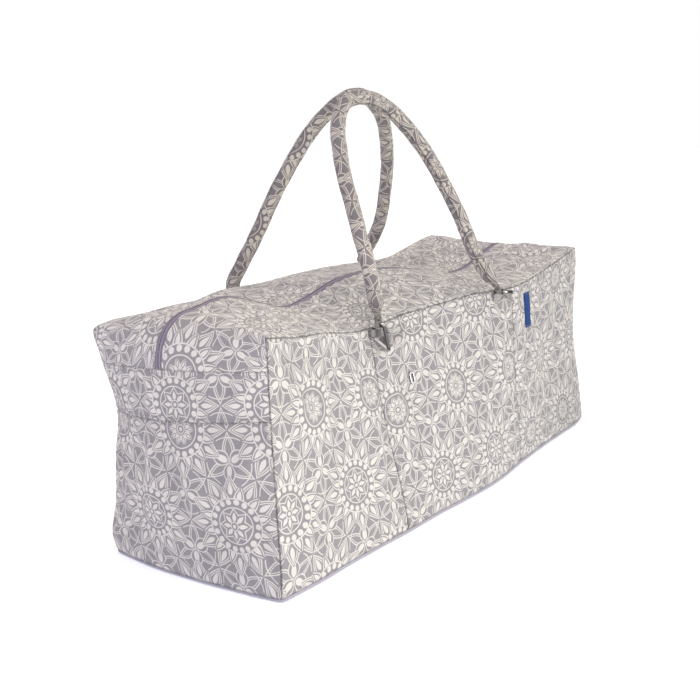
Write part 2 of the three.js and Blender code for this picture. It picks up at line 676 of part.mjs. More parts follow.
// A plate resting on the front wall at a place
function wallPlate(name, size, share, rise, look, lift) {
  const outward = wallNormal('front', share, rise);
  const up = point(0, 0, 1).addScaledVector(outward, -outward.z).normalize();
  const aside = up.clone().cross(outward).normalize();
  const origin = wallPoint('front', share, rise).addScaledVector(outward, lift);
  return plate(name, size, origin, aside, up, outward, look);
}

// The zip slider, parked low on the right end
function zipSlider() {
  const rise = mix(BAND_TOP, 1, 0.3);
  const at = zipNose(RIGHT_END, 1, rise);
  const run = zipNose(RIGHT_END, 1, rise + 0.01).sub(zipNose(RIGHT_END, 1, rise - 0.01)).normalize();
  const aside = point(0, 1, 0);
  const outward = aside.clone().cross(run).normalize();
  const origin = at.addScaledVector(outward, SEAT_GAP);
  return plate('zip_slider', SLIDER_SIZE, origin, aside, run, outward, METAL);
}

const bag = new THREE.Group();
bag.name = 'yoga_kit_bag';
bag.add(basePanel());
for (const panel of PANELS) bag.add(clothPanel(panel));
bag.add(zipSlider());
for (const ring of RINGS) bag.add(wireRing(ring));
for (const ring of RINGS) bag.add(clothTab(ring));
bag.add(ropeHandle('front_handle', FRONT_ROPE, RINGS[0], RINGS[1]));
bag.add(ropeHandle('back_handle', BACK_ROPE, RINGS[2], RINGS[3]));
bag.add(wallPlate('side_label', LABEL_SIZE, 0.724, 0.84, LABEL_BLUE, SEAT_GAP));
bag.add(wallPlate('pocket_pull', PULL_SIZE, 0.375, 0.69, METAL, SEAT_GAP));

export default bag;
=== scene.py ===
import math
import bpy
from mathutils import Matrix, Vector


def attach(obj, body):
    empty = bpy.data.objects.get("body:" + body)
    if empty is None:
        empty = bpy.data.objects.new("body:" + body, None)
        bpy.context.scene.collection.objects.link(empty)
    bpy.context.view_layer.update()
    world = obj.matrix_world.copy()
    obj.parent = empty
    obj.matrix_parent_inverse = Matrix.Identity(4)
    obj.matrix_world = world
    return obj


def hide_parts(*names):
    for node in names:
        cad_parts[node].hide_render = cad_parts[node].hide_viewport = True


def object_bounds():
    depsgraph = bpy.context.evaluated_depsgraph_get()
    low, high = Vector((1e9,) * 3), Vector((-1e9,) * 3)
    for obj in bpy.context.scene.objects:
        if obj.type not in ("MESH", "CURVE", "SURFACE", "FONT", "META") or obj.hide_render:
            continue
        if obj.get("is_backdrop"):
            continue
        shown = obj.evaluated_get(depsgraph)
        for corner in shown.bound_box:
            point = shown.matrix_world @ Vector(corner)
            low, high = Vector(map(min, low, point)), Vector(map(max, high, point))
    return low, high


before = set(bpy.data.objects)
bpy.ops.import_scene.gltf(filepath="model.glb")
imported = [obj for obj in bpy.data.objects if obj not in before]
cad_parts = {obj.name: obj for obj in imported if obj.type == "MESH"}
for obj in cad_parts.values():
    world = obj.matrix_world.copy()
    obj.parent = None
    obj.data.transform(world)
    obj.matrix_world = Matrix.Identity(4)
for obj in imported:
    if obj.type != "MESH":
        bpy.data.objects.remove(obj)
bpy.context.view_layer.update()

from types import SimpleNamespace

import bpy
import numpy as np
from mathutils import Matrix

# Front wall: three panels of printed cotton, the middle one the pocket, joined by two upright seams.
# The cloth hangs from the top seam, sags between the corners and is turned in at every seam.
# All lengths are in millimetres until a mesh is made.

# The long edges of the bag, by share of the length from the left end
LONG_EDGES = {
    "share": [0, 0.08, 0.16, 0.23, 0.292, 0.38, 0.47, 0.56, 0.667, 0.77, 0.86, 0.94, 1],
    "front base": [-121.5, -126, -127, -130, -133, -135, -140, -142, -135, -130, -128, -126, -117],
    "front y": [-115.5, -106, -97, -91, -89, -91, -101, -115, -128, -127, -122, -118, -116],
    "front z": [249, 238, 231, 222, 218, 222, 224, 227, 224, 228, 234, 240, 246],
    "zip z": [263, 267, 253, 241, 245, 256, 258, 254, 242, 228, 229, 242, 250],
    "back y": [117, 116, 115, 115, 114, 111, 106, 101, 97, 99, 105, 113, 118],
    "back z": [246, 244.5, 241, 246, 251, 249, 251, 252, 249, 246, 252, 257, 260],
    "back base": [113, 121, 126, 129, 131, 133, 134, 134, 133, 131, 127, 122, 116],
}

# The corner seams and the bulging middle of the two ends, by share of the height
LEFT_END = {
    "rise": [0, 0.085, 0.226, 0.453, 0.675, 0.863, 1],
    "front x": [-340.5, -336, -333, -331, -330, -328, -326],
    "front y": [-121.5, -119.3, -117, -116, -116, -115.5, -115.5],
    "front z": [3.6, 24.9, 60, 115, 171, 217, 249],
    "mid x": [-346, -347.5, -350, -353, -353, -352, -352],
    "mid z": [3.6, 24.2, 58, 111, 164, 214, 250],
    "back x": [-333.6, -336.3, -333.4, -331, -326, -331, -335],
    "back y": [115, 115.8, 108, 102, 98, 107, 117],
    "back z": [3.6, 24.2, 58, 110, 158, 207, 246],
}
RIGHT_END = {
    "rise": [0, 0.226, 0.453, 0.675, 0.863, 1],
    "front x": [336, 327, 320, 321, 325, 328],
    "front y": [-117, -116, -113, -113, -115, -116],
    "front z": [3.6, 60, 114, 167, 212, 246],
    "mid x": [343, 349, 352, 352, 351, 351],
    "mid z": [3.6, 60, 115, 166, 211, 246],
    "back x": [332, 331, 330, 328, 325, 322],
    "back y": [116, 117, 117, 117, 118, 118],
    "back z": [3.6, 60, 117, 174, 223, 260],
}
BASE_RIM = 3.6
FULLNESS = {"front": 4, "back": 9}
# How fast the pull of a corner seam fades along the wall
CORNER_FADE = 6

# Rough length and height of a long wall, and how closely a panel is divided
WALL_LONG, WALL_TALL = 660, 235
CLOTH_PITCH = 3.1

# Soft hollows pressed into the walls: share, rise, spread along, spread up, depth
HOLLOWS = {
    "front": [
        (0.17, 0.78, 0.07, 0.22, 6), (0.30, 0.55, 0.035, 0.3, 4),
        (0.50, 0.72, 0.08, 0.2, 5), (0.83, 0.5, 0.05, 0.3, 7),
    ],
    "back": [(0.34, 0.6, 0.09, 0.25, 7), (0.71, 0.55, 0.08, 0.3, 6)],
}

# Folds of the front cloth: share and rise of both ends, width, height
FRONT_FOLDS = [
    (0.02, 0.93, 0.10, 0.60, 9, 2.4), (0.03, 0.10, 0.10, 0.42, 10, 2.0), (0.05, 0.86, 0.20, 0.70, 8, 1.8),
    (0.15, 0.95, 0.13, 0.55, 11, 2.2), (0.22, 0.90, 0.25, 0.45, 9, 2.0), (0.27, 0.70, 0.24, 0.15, 10, 2.2),
    (0.31, 0.86, 0.345, 0.50, 8, 2.4), (0.325, 0.60, 0.34, 0.12, 9, 2.0),
    (0.333, 0.879, 0.378, 0.893, 4.6, 3.4),
    (0.42, 0.93, 0.47, 0.62, 12, 2.2), (0.50, 0.30, 0.44, 0.08, 13, 2.0), (0.57, 0.93, 0.55, 0.55, 10, 2.0),
    (0.63, 0.88, 0.61, 0.40, 9, 2.6), (0.645, 0.50, 0.63, 0.10, 8, 1.8), (0.69, 0.88, 0.70, 0.45, 8, 2.2),
    (0.76, 0.95, 0.80, 0.55, 10, 2.4), (0.84, 0.90, 0.86, 0.25, 11, 2.6), (0.97, 0.92, 0.90, 0.62, 9, 2.6),
    (0.96, 0.60, 0.92, 0.20, 9, 2.2), (0.75, 0.35, 0.72, 0.06, 10, 1.8),
]

# Cloth in shade by the rings, under the top seam and low on the right: share, rise, both spreads, depth
FRONT_SHADE = [
    (0.322, 0.915, 8, 9, 1.3), (0.333, 0.95, 6, 8, 1.1), (0.311, 0.893, 8, 5, 0.5),
    (0.353, 0.927, 20, 10, 0.26), (0.645, 0.962, 9, 4, 0.75), (0.66, 0.952, 5, 5, 0.7),
    (0.05, 1.0, 34, 3, 0.45), (0.93, 0.07, 80, 45, 0.2), (0.04, 0.7, 18, 60, 0.06),
    (0.86, 0.93, 60, 22, 0.06), (0.57, 0.93, 36, 14, 0.05),
]

# Places where something is sewn on, and the cloth lies flat: share, rise, reach
FRONT_FLATS = [(0.292, 0.945, 20), (0.6255, 0.97, 18), (0.724, 0.84, 30), (0.375, 0.72, 16)]


def follow(table, column, at):
    """A smooth curve through one column of a table, read at places along its first column."""
    key, value = (np.array(table[name], float) for name in (next(iter(table)), column))
    slope = np.gradient(value, key)
    slope[1:-1] = (value[2:] - value[:-2]) / (key[2:] - key[:-2])
    i = np.clip(np.searchsorted(key, at) - 1, 0, len(key) - 2)
    span = key[i + 1] - key[i]
    t = (at - key[i]) / span
    start = value[i] * (1 + 2 * t) * (1 - t) ** 2 + slope[i] * span * t * (1 - t) ** 2
    return start + value[i + 1] * t * t * (3 - 2 * t) + slope[i + 1] * span * t * t * (t - 1)


def corner(end, side, rise):
    return np.stack([follow(end, f"{side} {axis}", rise) for axis in "xyz"], -1)


# How far the seams draw each top corner in, since three thick edges meet there
CORNER_BLUNT = {
    ("left", "front"): 3.0, ("left", "back"): 6.0, ("right", "front"): 3.0, ("right", "back"): 2.0,
}
CORNER_REACH = 32.0


def unit(vector):
    vector = np.asarray(vector, float)
    return vector / np.linalg.norm(vector, axis=-1, keepdims=True)


def soften(place):
    """Points near a top corner drawn in, so that the corner is blunt."""
    for (end_name, side), blunt in CORNER_BLUNT.items():
        tip = corner(LEFT_END if end_name == "left" else RIGHT_END, side, np.array(1.0))
        near = np.clip(1 - np.abs(place - tip).sum(-1) / CORNER_REACH, 0, 1)
        inward = unit([1 if end_name == "left" else -1, 1 if side == "front" else -1, -1])
        place = place + inward * (blunt * near * near)[..., None]
    return place


def wall(side, share, rise):
    """Points of a long wall, from shares of its length and of its height."""
    share, rise = np.broadcast_arrays(np.asarray(share, float), np.asarray(rise, float))
    left, right = corner(LEFT_END, side, rise), corner(RIGHT_END, side, rise)

    def sheet(at):
        low, high, top = (follow(LONG_EDGES, f"{side} {part}", at) for part in ("base", "y", "z"))
        across = left[..., 0] + (right[..., 0] - left[..., 0]) * at
        return np.stack([across, low + (high - low) * rise, BASE_RIM + (top - BASE_RIM) * rise], -1)

    to_left = (left - sheet(np.zeros_like(share))) * ((1 - share) ** CORNER_FADE)[..., None]
    to_right = (right - sheet(np.ones_like(share))) * (share**CORNER_FADE)[..., None]
    place = sheet(share) + to_left + to_right
    free = np.sin(np.pi * rise) * np.sin(np.pi * share)
    swell = FULLNESS[side] * free
    for at, height, wide, tall, deep in HOLLOWS[side]:
        dent = np.exp(-(((share - at) / wide) ** 2) - ((rise - height) / tall) ** 2)
        swell = swell - deep * dent * np.sqrt(np.clip(free, 0, 1))
    place[..., 1] += swell * (-1 if side == "front" else 1)
    return soften(place)


def creases(along, up, folds, long, tall):
    """How far folds lift the cloth: each is a soft ridge with a valley beside it, fading at its ends."""
    lift = np.zeros(np.broadcast(along, up).shape)
    for x0, y0, x1, y1, wide, high in folds:
        run = np.array([(x1 - x0) * long, (y1 - y0) * tall])
        reach = np.hypot(*run)
        run = run / reach
        px, py = (along - x0) * long, (up - y0) * tall
        s = (px * run[0] + py * run[1]) / reach
        wander = 2.5 * np.sin(s * 4 + x0 * 40)
        off = px * -run[1] + py * run[0] + wander
        fade = np.exp(-(np.clip(np.abs(s - 0.5) - 0.28, 0, None) / 0.17) ** 2)
        ridge, valley = np.exp(-((off / wide) ** 2)), np.exp(-(((off - 1.5 * wide) / wide) ** 2))
        lift = lift + high * fade * (ridge - 0.6 * valley)
    return lift


def drift(along, up, seed, size, high):
    """Gentle unevenness of loose cloth, as a sum of waves in many directions."""
    chance = np.random.default_rng(seed)
    total = 0
    for _ in range(9):
        way = chance.uniform(0, math.tau)
        wave = size * chance.uniform(0.6, 1.7)
        start = chance.uniform(0, math.tau)
        total = total + np.sin((along * math.cos(way) + up * math.sin(way)) * math.tau / wave + start)
    return high * total / 3


def places(length, pitch):
    """Shares of a length where a panel is divided, closer together beside its two seams."""
    edge = np.array([0, 0.6, 1.2, 2.0, 3.2, 4.8])
    inset = 6.8
    inner = np.linspace(inset, length - inset, max(2, round((length - 2 * inset) / pitch) + 1))
    return np.concatenate([edge, inner, length - edge[::-1]]) / length


def run_length(line):
    return np.concatenate([[0], np.cumsum(np.linalg.norm(np.diff(line, axis=0), axis=1))])


def outward(grid, flip):
    normal = np.cross(np.gradient(grid, axis=1), np.gradient(grid, axis=0))
    return unit(-normal if flip else normal)


def placed(name, data):
    """A new object in the scene."""
    made = bpy.data.objects.new(name, data)
    bpy.context.scene.collection.objects.link(made)
    return made


def mesh_piece(name, points, faces, cut=None, painted_shade=None):
    """A smooth piece from points in millimetres, with its flat cut as a UV map in metres."""
    mesh = bpy.data.meshes.new(name)
    mesh.from_pydata((np.asarray(points, float).reshape(-1, 3) / 1000).tolist(), [], faces)
    mesh.polygons.foreach_set("use_smooth", [True] * len(faces))
    if cut is not None:
        corners = np.empty(len(mesh.loops), np.int32)
        mesh.loops.foreach_get("vertex_index", corners)
        flat = np.asarray(cut, float).reshape(-1, 2)[corners] / 1000
        mesh.uv_layers.new(name="cut").data.foreach_set("uv", flat.ravel())
    # Painted shade as a value at each point: the material darkens the colour by it, and lightens it where it
    # is below 0
    if painted_shade is not None:
        mesh.attributes.new("painted_shade", "FLOAT", "POINT").data.foreach_set("value", np.ravel(painted_shade))
    return placed(name, mesh)


def soft_step(value, low, high):
    t = np.clip((value - low) / (high - low), 0, 1)
    return t * t * (3 - 2 * t)


# Beside a seam: how far the cloth lies calm, how high it puckers, how wide its line of painted shade is,
# and the share of that line that a faint seam shows
SEAM_CALM, PUCKER, SEAM_LINE, FAINT_SEAM = 15, 0.4, 1.15, 0.3


def sew(name, grid, seams, relief, flip, shift, thick=1.5, shadow=0.0, faint=()):
    """A cloth panel from a grid on its outer face. Seams give the way that each edge turns in.

    Relief lifts the cloth, shift places its print, shadow darkens it, and a faint seam shows less.
    """
    rows, cols = grid.shape[:2]
    u, v = run_length(grid[rows // 2]), run_length(grid[:, cols // 2])
    far = {"left": u[None], "right": (u[-1] - u)[None], "low": v[:, None], "high": (v[-1] - v)[:, None]}
    beside = {"left": v[:, None], "right": v[:, None], "low": u[None], "high": u[None]}
    nearest = np.full((rows, cols), 1e3)
    for seam in seams:
        nearest = np.minimum(nearest, far[seam])
    lift = relief * soft_step(nearest, 0, SEAM_CALM)
    for seam in seams:
        ripple = np.sin(beside[seam] / 2.3 + 2 * np.sin(beside[seam] / 19))
        lift = lift + PUCKER * ripple * np.exp(-far[seam] / 8) * (1 - np.exp(-((far[seam] / 2.5) ** 2)))
    face = grid + outward(grid, flip) * lift[..., None]
    # Painted shade in the valleys of the relief, on top of the given painted shadow
    painted_shade = 0.045 * np.clip(-lift, 0, 4) + shadow
    for seam, way in seams.items():
        way = np.asarray(way, float)
        tuck = 1.1 * np.exp(-((far[seam] / 1.3) ** 2)) + 0.7 * np.exp(-far[seam] / 6)
        face = face + way * tuck[..., None]
        # Painted shade in a thin dark line along each seam, where the cloth turns in; its depth wavers along
        # the seam
        pull = np.minimum(np.linalg.norm(way, axis=-1), 1) * (FAINT_SEAM if seam in faint else 1)
        shade_depth = 0.86 + 0.14 * np.sin(beside[seam] / 31 + 1.7 * np.sin(beside[seam] / 13))
        painted_shade = painted_shade + (1 - painted_shade) * pull * shade_depth * np.exp(-((far[seam] / SEAM_LINE) ** 2))
    normal = outward(face, flip)
    points = np.concatenate([face.reshape(-1, 3), (face - normal * thick).reshape(-1, 3)])
    index = np.arange(rows * cols).reshape(rows, cols)
    quads = np.stack([index[:-1, :-1], index[:-1, 1:], index[1:, 1:], index[1:, :-1]], -1).reshape(-1, 4)
    rim = np.concatenate([index[0, :-1], index[:-1, -1], index[-1, :0:-1], index[:0:-1, 0]])
    edge = np.stack([np.roll(rim, -1), rim, rim + rows * cols, np.roll(rim, -1) + rows * cols], -1)
    if flip:
        quads, edge = quads[:, ::-1], edge[:, ::-1]
    faces = np.concatenate([quads, quads[:, ::-1] + rows * cols, edge]).tolist()
    cut = np.stack(np.meshgrid(u + shift[0], v + shift[1]), -1).reshape(-1, 2)
    painted_shade = painted_shade.ravel()
    piece = mesh_piece(name, points, faces, np.concatenate([cut, cut]), np.concatenate([painted_shade, painted_shade * 0]))
    return SimpleNamespace(piece=piece, face=face, normal=normal, u=u, v=v)


def linear(red, green, blue):
    """A colour as seen on a screen, from 0 to 255, as the amounts of light that a shader takes."""
    shares = [c / 255 for c in (red, green, blue)]
    return tuple(c / 12.92 if c < 0.0404 else ((c + 0.055) / 1.055) ** 2.4 for c in shares) + (1,)


class Tone:
    """A value that changes over a surface. Arithmetic on it adds Math nodes to its material."""

    def __init__(self, tree, socket=None):
        self.tree, self.socket = tree, socket

    def node(self, kind, settings=None, inputs=None, output=0):
        made = self.tree.nodes.new(kind)
        for name, value in (settings or {}).items():
            setattr(made, name, value)
        for name, value in (inputs or {}).items():
            if isinstance(value, Tone):
                self.tree.links.new(value.socket, made.inputs[name])
            else:
                made.inputs[name].default_value = value
        return Tone(self.tree, made.outputs[output] if made.outputs else None)

    def also(self, output):
        return Tone(self.tree, self.socket.node.outputs[output])

    def math(self, operation, *values, clamp=False):
        settings = {"operation": operation, "use_clamp": clamp}
        return self.node("ShaderNodeMath", settings, dict(enumerate(values)))

    def clipped(self, by, plus):
        return self.math("MULTIPLY_ADD", self, by, plus, clamp=True)

    def ripple(self, pitch):
        return self.math("SINE", self * (math.tau / pitch))

    def __add__(self, other):
        return self.math("ADD", self, other)

    __radd__ = __add__

    def __sub__(self, other):
        return self.math("SUBTRACT", self, other)

    def __rsub__(self, other):
        return self.math("SUBTRACT", other, self)

    def __mul__(self, other):
        return self.math("MULTIPLY", self, other)

    __rmul__ = __mul__

    def __pow__(self, other):
        return self.math("POWER", self, other)

    def __abs__(self):
        return self.math("ABSOLUTE", self)


def blank_material(name):
    material = bpy.data.materials.new(name)
    material.use_nodes = True
    material.node_tree.nodes.clear()
    return material, Tone(material.node_tree)


def tint(tone, amount, low, high):
    """A colour between two others, by an amount from 0 to 1."""
    return tone.node("ShaderNodeMix", {"data_type": "RGBA"}, {0: amount, 6: low, 7: high}, 2)


def shade(tone, colour, amount):
    """A colour made darker or lighter by an amount that is 1 where it stays."""
    grey = tone.node("ShaderNodeCombineColor", None, {0: amount, 1: amount, 2: amount})
    settings = {"data_type": "RGBA", "blend_type": "MULTIPLY"}
    return tone.node("ShaderNodeMix", settings, {0: 1.0, 6: colour, 7: grey}, 2)


def speckle(tone, place, scale, detail, flat=False):
    """The uneven grain of a finish, from 0 to 1."""
    settings = {"noise_dimensions": "2D"} if flat else None
    return tone.node("ShaderNodeTexNoise", settings, {"Vector": place, "Scale": scale, "Detail": detail})


def on_cut(tone):
    """A place on the flat cut of the cloth, whole and by its axes."""
    cut = tone.node("ShaderNodeUVMap", {"uv_map": "cut"})
    return cut, tone.node("ShaderNodeSeparateXYZ", None, {0: cut})


def painted_shade_node(tone):
    """The painted shade that a piece carries at its points."""
    return tone.node("ShaderNodeAttribute", {"attribute_name": "painted_shade"}, None, 2)


def raised(tone, strength, distance, height):
    """Fine relief that only the light feels."""
    return tone.node("ShaderNodeBump", None, {"Strength": strength, "Distance": distance, "Height": height})


def painted(tone, inputs):
    """Closes a material with one surface."""
    surface = tone.node("ShaderNodeBsdfPrincipled", None, inputs)
    tone.node("ShaderNodeOutputMaterial", None, {0: surface})


# The print is a staggered lattice of rosettes: layered petals round a ring of beads, with a flower or
# a star in the middle, and darts where three rosettes meet. All of it is in millimetres.
ROSETTE_PITCH = 104.0
PRINT_EDGE = 0.45
WEAVE_PITCH = 0.9


def rosette_print(x, y):
    """How much cream ink lies at a place of the cut cloth, in millimetres: 0 ground, 1 ink."""
    row = ROSETTE_PITCH * math.sqrt(3)

    def wrap(value, size):
        return value.math("WRAP", value, size / 2, -size / 2)

    def filled(inside):
        return inside.clipped(1 / PRINT_EDGE, 0.5)

    def drawn(inside, wide):
        return abs(inside).clipped(-1 / PRINT_EDGE, wide / 2 / PRINT_EDGE + 0.5)

    def laid(under, layer, mask):
        return under.math("MULTIPLY_ADD", layer - under, mask, under)

    def both(one, other):
        return one.math("MAXIMUM", one, other)

    ax, ay = wrap(x, ROSETTE_PITCH), wrap(y, row)
    bx, by = wrap(x + ROSETTE_PITCH / 2, ROSETTE_PITCH), wrap(y + row / 2, row)
    near_a, near_b = ax * ax + ay * ay, bx * bx + by * by
    flower = near_a.math("LESS_THAN", near_a, near_b)
    qx, qy = laid(bx, ax, flower), laid(by, ay, flower)
    r = near_a.math("SQRT", near_a.math("MINIMUM", near_a, near_b))
    angle = qy.math("ARCTAN2", qy, qx)

    def round_about(count, turned):
        """Places along and across the nearest of a number of petals."""
        turn = wrap(angle.math("MULTIPLY_ADD", angle, count / math.tau, turned), 1) * (math.tau / count)
        return r * turn.math("COSINE", turn), abs(r * turn.math("SINE", turn))

    def petal(along, across, start, tip, half, belly=0.8):
        """How far inside a pointed petal a place lies."""
        t = along.clipped(1 / (tip - start), -start / (tip - start))
        return t.math("SINE", t**belly * math.pi) * half - across

    # Darts where three rosettes meet
    along, across = round_about(6, 0.5)
    inward = ROSETTE_PITCH / math.sqrt(3) - along
    spot = inward.math("SQRT", inward * inward + across * across)
    between = inward * 0.5 + across * 0.866
    beside = abs(inward * 0.866 - across * 0.5)
    leaf = petal(between, beside, 2.0, 29.0, 6.0, 0.7)
    ink = drawn(leaf - 0.5, 1.2)
    ink = both(ink, drawn(leaf - 2.6, 0.8))
    ink = both(ink, drawn(spot - 23.5, 1.0))
    wing = petal(inward, across, 0.5, 21.0, 7.6, 0.8)
    ink = laid(ink, drawn(wing - 0.6, 1.3), filled(wing))
    dart = petal(inward, across, 2.5, 18.0, 3.2, 0.6)
    ink = both(ink, filled(dart))

    # Outer petals, in outline with a double vein
    along, across = round_about(12, 0.0)
    outer = petal(along, across, 18.0, 51.0, 8.4, 0.85)
    vein = drawn(outer - 2.9, 1.1)
    vein = both(vein, drawn(outer - 0.6, 1.5))
    heart = petal(along, across, 31.0, 45.0, 2.6, 0.7)
    vein = both(vein, filled(heart))
    ink = laid(ink, vein, filled(outer))

    # Inner petals, in solid ink with a drawn eye
    along, across = round_about(12, 0.5)
    inner = petal(along, across, 15.0, 42.5, 6.4, 0.8)
    eye = petal(along, across, 24.0, 37.5, 3.0, 0.75)
    solid = 1.0 - drawn(eye, 1.3)
    ink = laid(ink, solid * filled(inner - 1.1), filled(inner))

    # A ring of beads on a plain disc
    disc = 28.0 - r
    along, across = round_about(18, 0.0)
    step = along - 23.6
    bead = 2.9 - step.math("SQRT", step * step + across * across)
    ring = filled(bead)
    ring = both(ring, drawn(disc - 0.7, 1.3))
    ink = laid(ink, ring, filled(disc))

    # The middle: a ten-petalled flower, or an eight-pointed star
    disc = 18.6 - r
    along, across = round_about(10, 0.0)
    bloom = petal(along, across, 4.0, 17.6, 3.9, 0.8)
    flower_ink = filled(bloom - 0.9) - drawn(petal(along, across, 8.0, 15.0, 1.4, 0.8), 0.9)
    along, across = round_about(8, 0.0)
    ray = petal(along, across, -9.0, 17.8, 7.2, 0.95)
    star_ink = drawn(ray - 0.8, 1.2)
    star_ink = both(star_ink, filled(petal(along, across, 4.5, 13.5, 2.1, 0.8)))
    middle = laid(star_ink, flower_ink, flower)
    middle = both(middle, drawn(disc - 0.6, 1.2))
    middle = laid(middle, drawn(4.2 - r, 1.0), filled(4.8 - r))
    middle = both(middle, filled(1.9 - r))
    return laid(ink, middle, filled(disc))


def printed_cotton(name, ground, cream):
    """Matt woven cotton with the cream print on a grey-lilac ground, shaded in its folds and at its seams."""
    material, tone = blank_material(name)
    cut, axes = on_cut(tone)
    x, y = axes * 1000, axes.also(1) * 1000
    mottle, speck = speckle(tone, cut, 55.0, 3.0, True), speckle(tone, cut, 900.0, 1.0, True)
    ink = rosette_print(x, y) * (0.8 + speck * 0.36)
    colour = tint(tone, ink.math("MINIMUM", ink, 1.0), ground, cream)
    painted_shade = painted_shade_node(tone)
    weave = x.ripple(WEAVE_PITCH) * y.ripple(WEAVE_PITCH)
    # The painted shade at the points darkens the colour
    amount = (0.93 + mottle * 0.1 + speck * 0.05) * (1.0 - painted_shade * 0.78) + weave * 0.012
    painted(tone, {
        "Base Color": shade(tone, colour, amount),
        "Roughness": 0.82 + mottle * 0.14,
        "Normal": raised(tone, 0.35, 0.00012, weave + speck * 1.5),
        "Sheen Weight": 0.18,
        "Sheen Roughness": 0.6,
        "Specular IOR Level": 0.22,
    })
    return material


body_print = printed_cotton("body_print", linear(142, 139, 142), linear(211, 208, 202))


def tie(piece, material, node):
    """Gives a piece its finish and puts it in the place of its solid."""
    piece.data.materials.append(material)
    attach(piece, "root")
    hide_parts(node)


def sewn_cloth(panel, material, node):
    """Finishes a panel that is sewn in on every side."""
    tie(panel.piece, material, node)


def shaded(share, rise, spots, long, tall):
    """How deep the cloth lies in shade, from soft spots of it."""
    depth = np.zeros(np.broadcast(share, rise).shape)
    for at, height, wide, high, deep in spots:
        spot = np.exp(-(((share - at) * long / wide) ** 2) - ((rise - height) * tall / high) ** 2)
        depth = np.maximum(depth, np.minimum(deep * spot, 1))
    return depth


def calm(share, rise, flats):
    """1 where the cloth is free to fold, 0 where something is sewn on."""
    free = 1.0
    for at, height, reach in flats:
        away = np.hypot((share - at) * WALL_LONG, (rise - height) * WALL_TALL)
        free = free * (1 - np.exp(-((away / reach) ** 4)))
    return free


def loose(share, rise, folds, flats, seed, size, high):
    """How far folds and unevenness lift the cloth of a long wall."""
    lift = 1.4 * creases(share, rise, folds, WALL_LONG, WALL_TALL)
    lift = lift + drift(share * WALL_LONG, rise * WALL_TALL, seed, size, high)
    return lift * calm(share, rise, flats)


# The ways that the edges of the front panels turn in, and the shares where the two upright seams stand
FRONT_TURN = {
    "plain": (0, 0.8, 0), "faint": (0, 0.6, 0), "left": (0.7, 0.7, 0), "right": (-0.7, 0.7, 0),
    "low": (0, 0.4, 0.1), "high": (0, 0.7, -0.7),
}
POCKET_SEAMS = (0.292, 0.667)
front = {}
for name, start, end, left_turn, right_turn, shift in (
    ("front_left", 0.0, POCKET_SEAMS[0], "left", "plain", (36, 18)),
    ("front_pocket", *POCKET_SEAMS, "plain", "faint", (-21, 52)),
    ("front_right", POCKET_SEAMS[1], 1.0, "faint", "right", (71, -30)),
):
    share = start + places((end - start) * WALL_LONG, CLOTH_PITCH)[None] * (end - start)
    rise = places(WALL_TALL, CLOTH_PITCH)[:, None]
    seams = {"left": FRONT_TURN[left_turn], "right": FRONT_TURN[right_turn]}
    seams |= {edge: FRONT_TURN[edge] for edge in ("low", "high")}
    relief = loose(share, rise, FRONT_FOLDS, FRONT_FLATS, 4, 85, 0.6)
    # Painted shade: darker towards the top, and on the right
    shadow = shaded(share, rise, FRONT_SHADE, WALL_LONG, WALL_TALL) + 0.1 * (rise - 0.42)
    shadow = shadow + 0.05 * np.clip((share - 0.66) / 0.1, 0, 1)
    front[name] = sew(f"{name}_cloth", wall("front", share, rise), seams, relief, False, shift, shadow=shadow)
    sewn_cloth(front[name], body_print, f"{name}_panel")

# Back wall: one long panel of the same cloth, plain apart from the two ring tabs near its top.
# It is sewn to the base, the ends and the top as the front is.

BACK_FOLDS = [
    (0.03, 0.92, 0.12, 0.58, 10, 2.6), (0.03, 0.08, 0.12, 0.40, 10, 2.2), (0.20, 0.94, 0.22, 0.45, 12, 2.4),
    (0.34, 0.80, 0.30, 0.35, 10, 2.6), (0.36, 0.80, 0.41, 0.40, 10, 2.4), (0.50, 0.94, 0.52, 0.50, 14, 2.2),
    (0.55, 0.35, 0.48, 0.08, 13, 2.0), (0.69, 0.80, 0.65, 0.40, 10, 2.6), (0.72, 0.80, 0.77, 0.42, 10, 2.4),
    (0.84, 0.92, 0.86, 0.40, 12, 2.4), (0.97, 0.92, 0.89, 0.60, 10, 2.6), (0.97, 0.10, 0.88, 0.38, 10, 2.0),
]
BACK_FLATS = [(0.345, 0.88, 20), (0.707, 0.88, 20)]
BACK_PITCH = 3.3
share, rise = places(WALL_LONG, BACK_PITCH)[None], places(WALL_TALL, BACK_PITCH)[:, None]
relief = loose(share, rise, BACK_FOLDS, BACK_FLATS, 9, 95, 1.1)
back_turn = {"left": (0.7, -0.7, 0), "right": (-0.7, -0.7, 0), "low": (0, -0.4, 0.1), "high": (0, -0.7, -0.7)}
back = sew("back_cloth", wall("back", share, rise), back_turn, relief, True, (15, 40))
sewn_cloth(back, body_print, "back_panel")

# The band's edges are the two seams that cross each end.

END_WIDE, END_TALL = 235, 245
BAND_LOW, BAND_TOP = 0.675, 0.863
ZIP_HALF = 2.9
END_FOLDS = [
    (0.06, 0.60, 0.22, 0.35, 9, 2.2), (0.05, 0.06, 0.20, 0.30, 9, 2.0), (0.94, 0.60, 0.80, 0.38, 9, 2.4),
    (0.95, 0.08, 0.80, 0.28, 9, 2.0), (0.40, 0.62, 0.36, 0.25, 13, 2.0), (0.62, 0.60, 0.66, 0.20, 13, 2.0),
    (0.05, 0.84, 0.16, 0.72, 7, 1.6), (0.94, 0.84, 0.82, 0.71, 7, 1.8), (0.55, 0.84, 0.58, 0.69, 9, 1.4),
]
# Shade under the band and at the low corners, as for the front
END_SHADE = [
    (0.2, 0.655, 45, 11, 0.1), (0.5, 0.655, 45, 11, 0.1), (0.8, 0.655, 45, 11, 0.12),
    (0.9, 0.12, 26, 34, 0.09), (0.28, 0.12, 40, 30, 0.07),
]


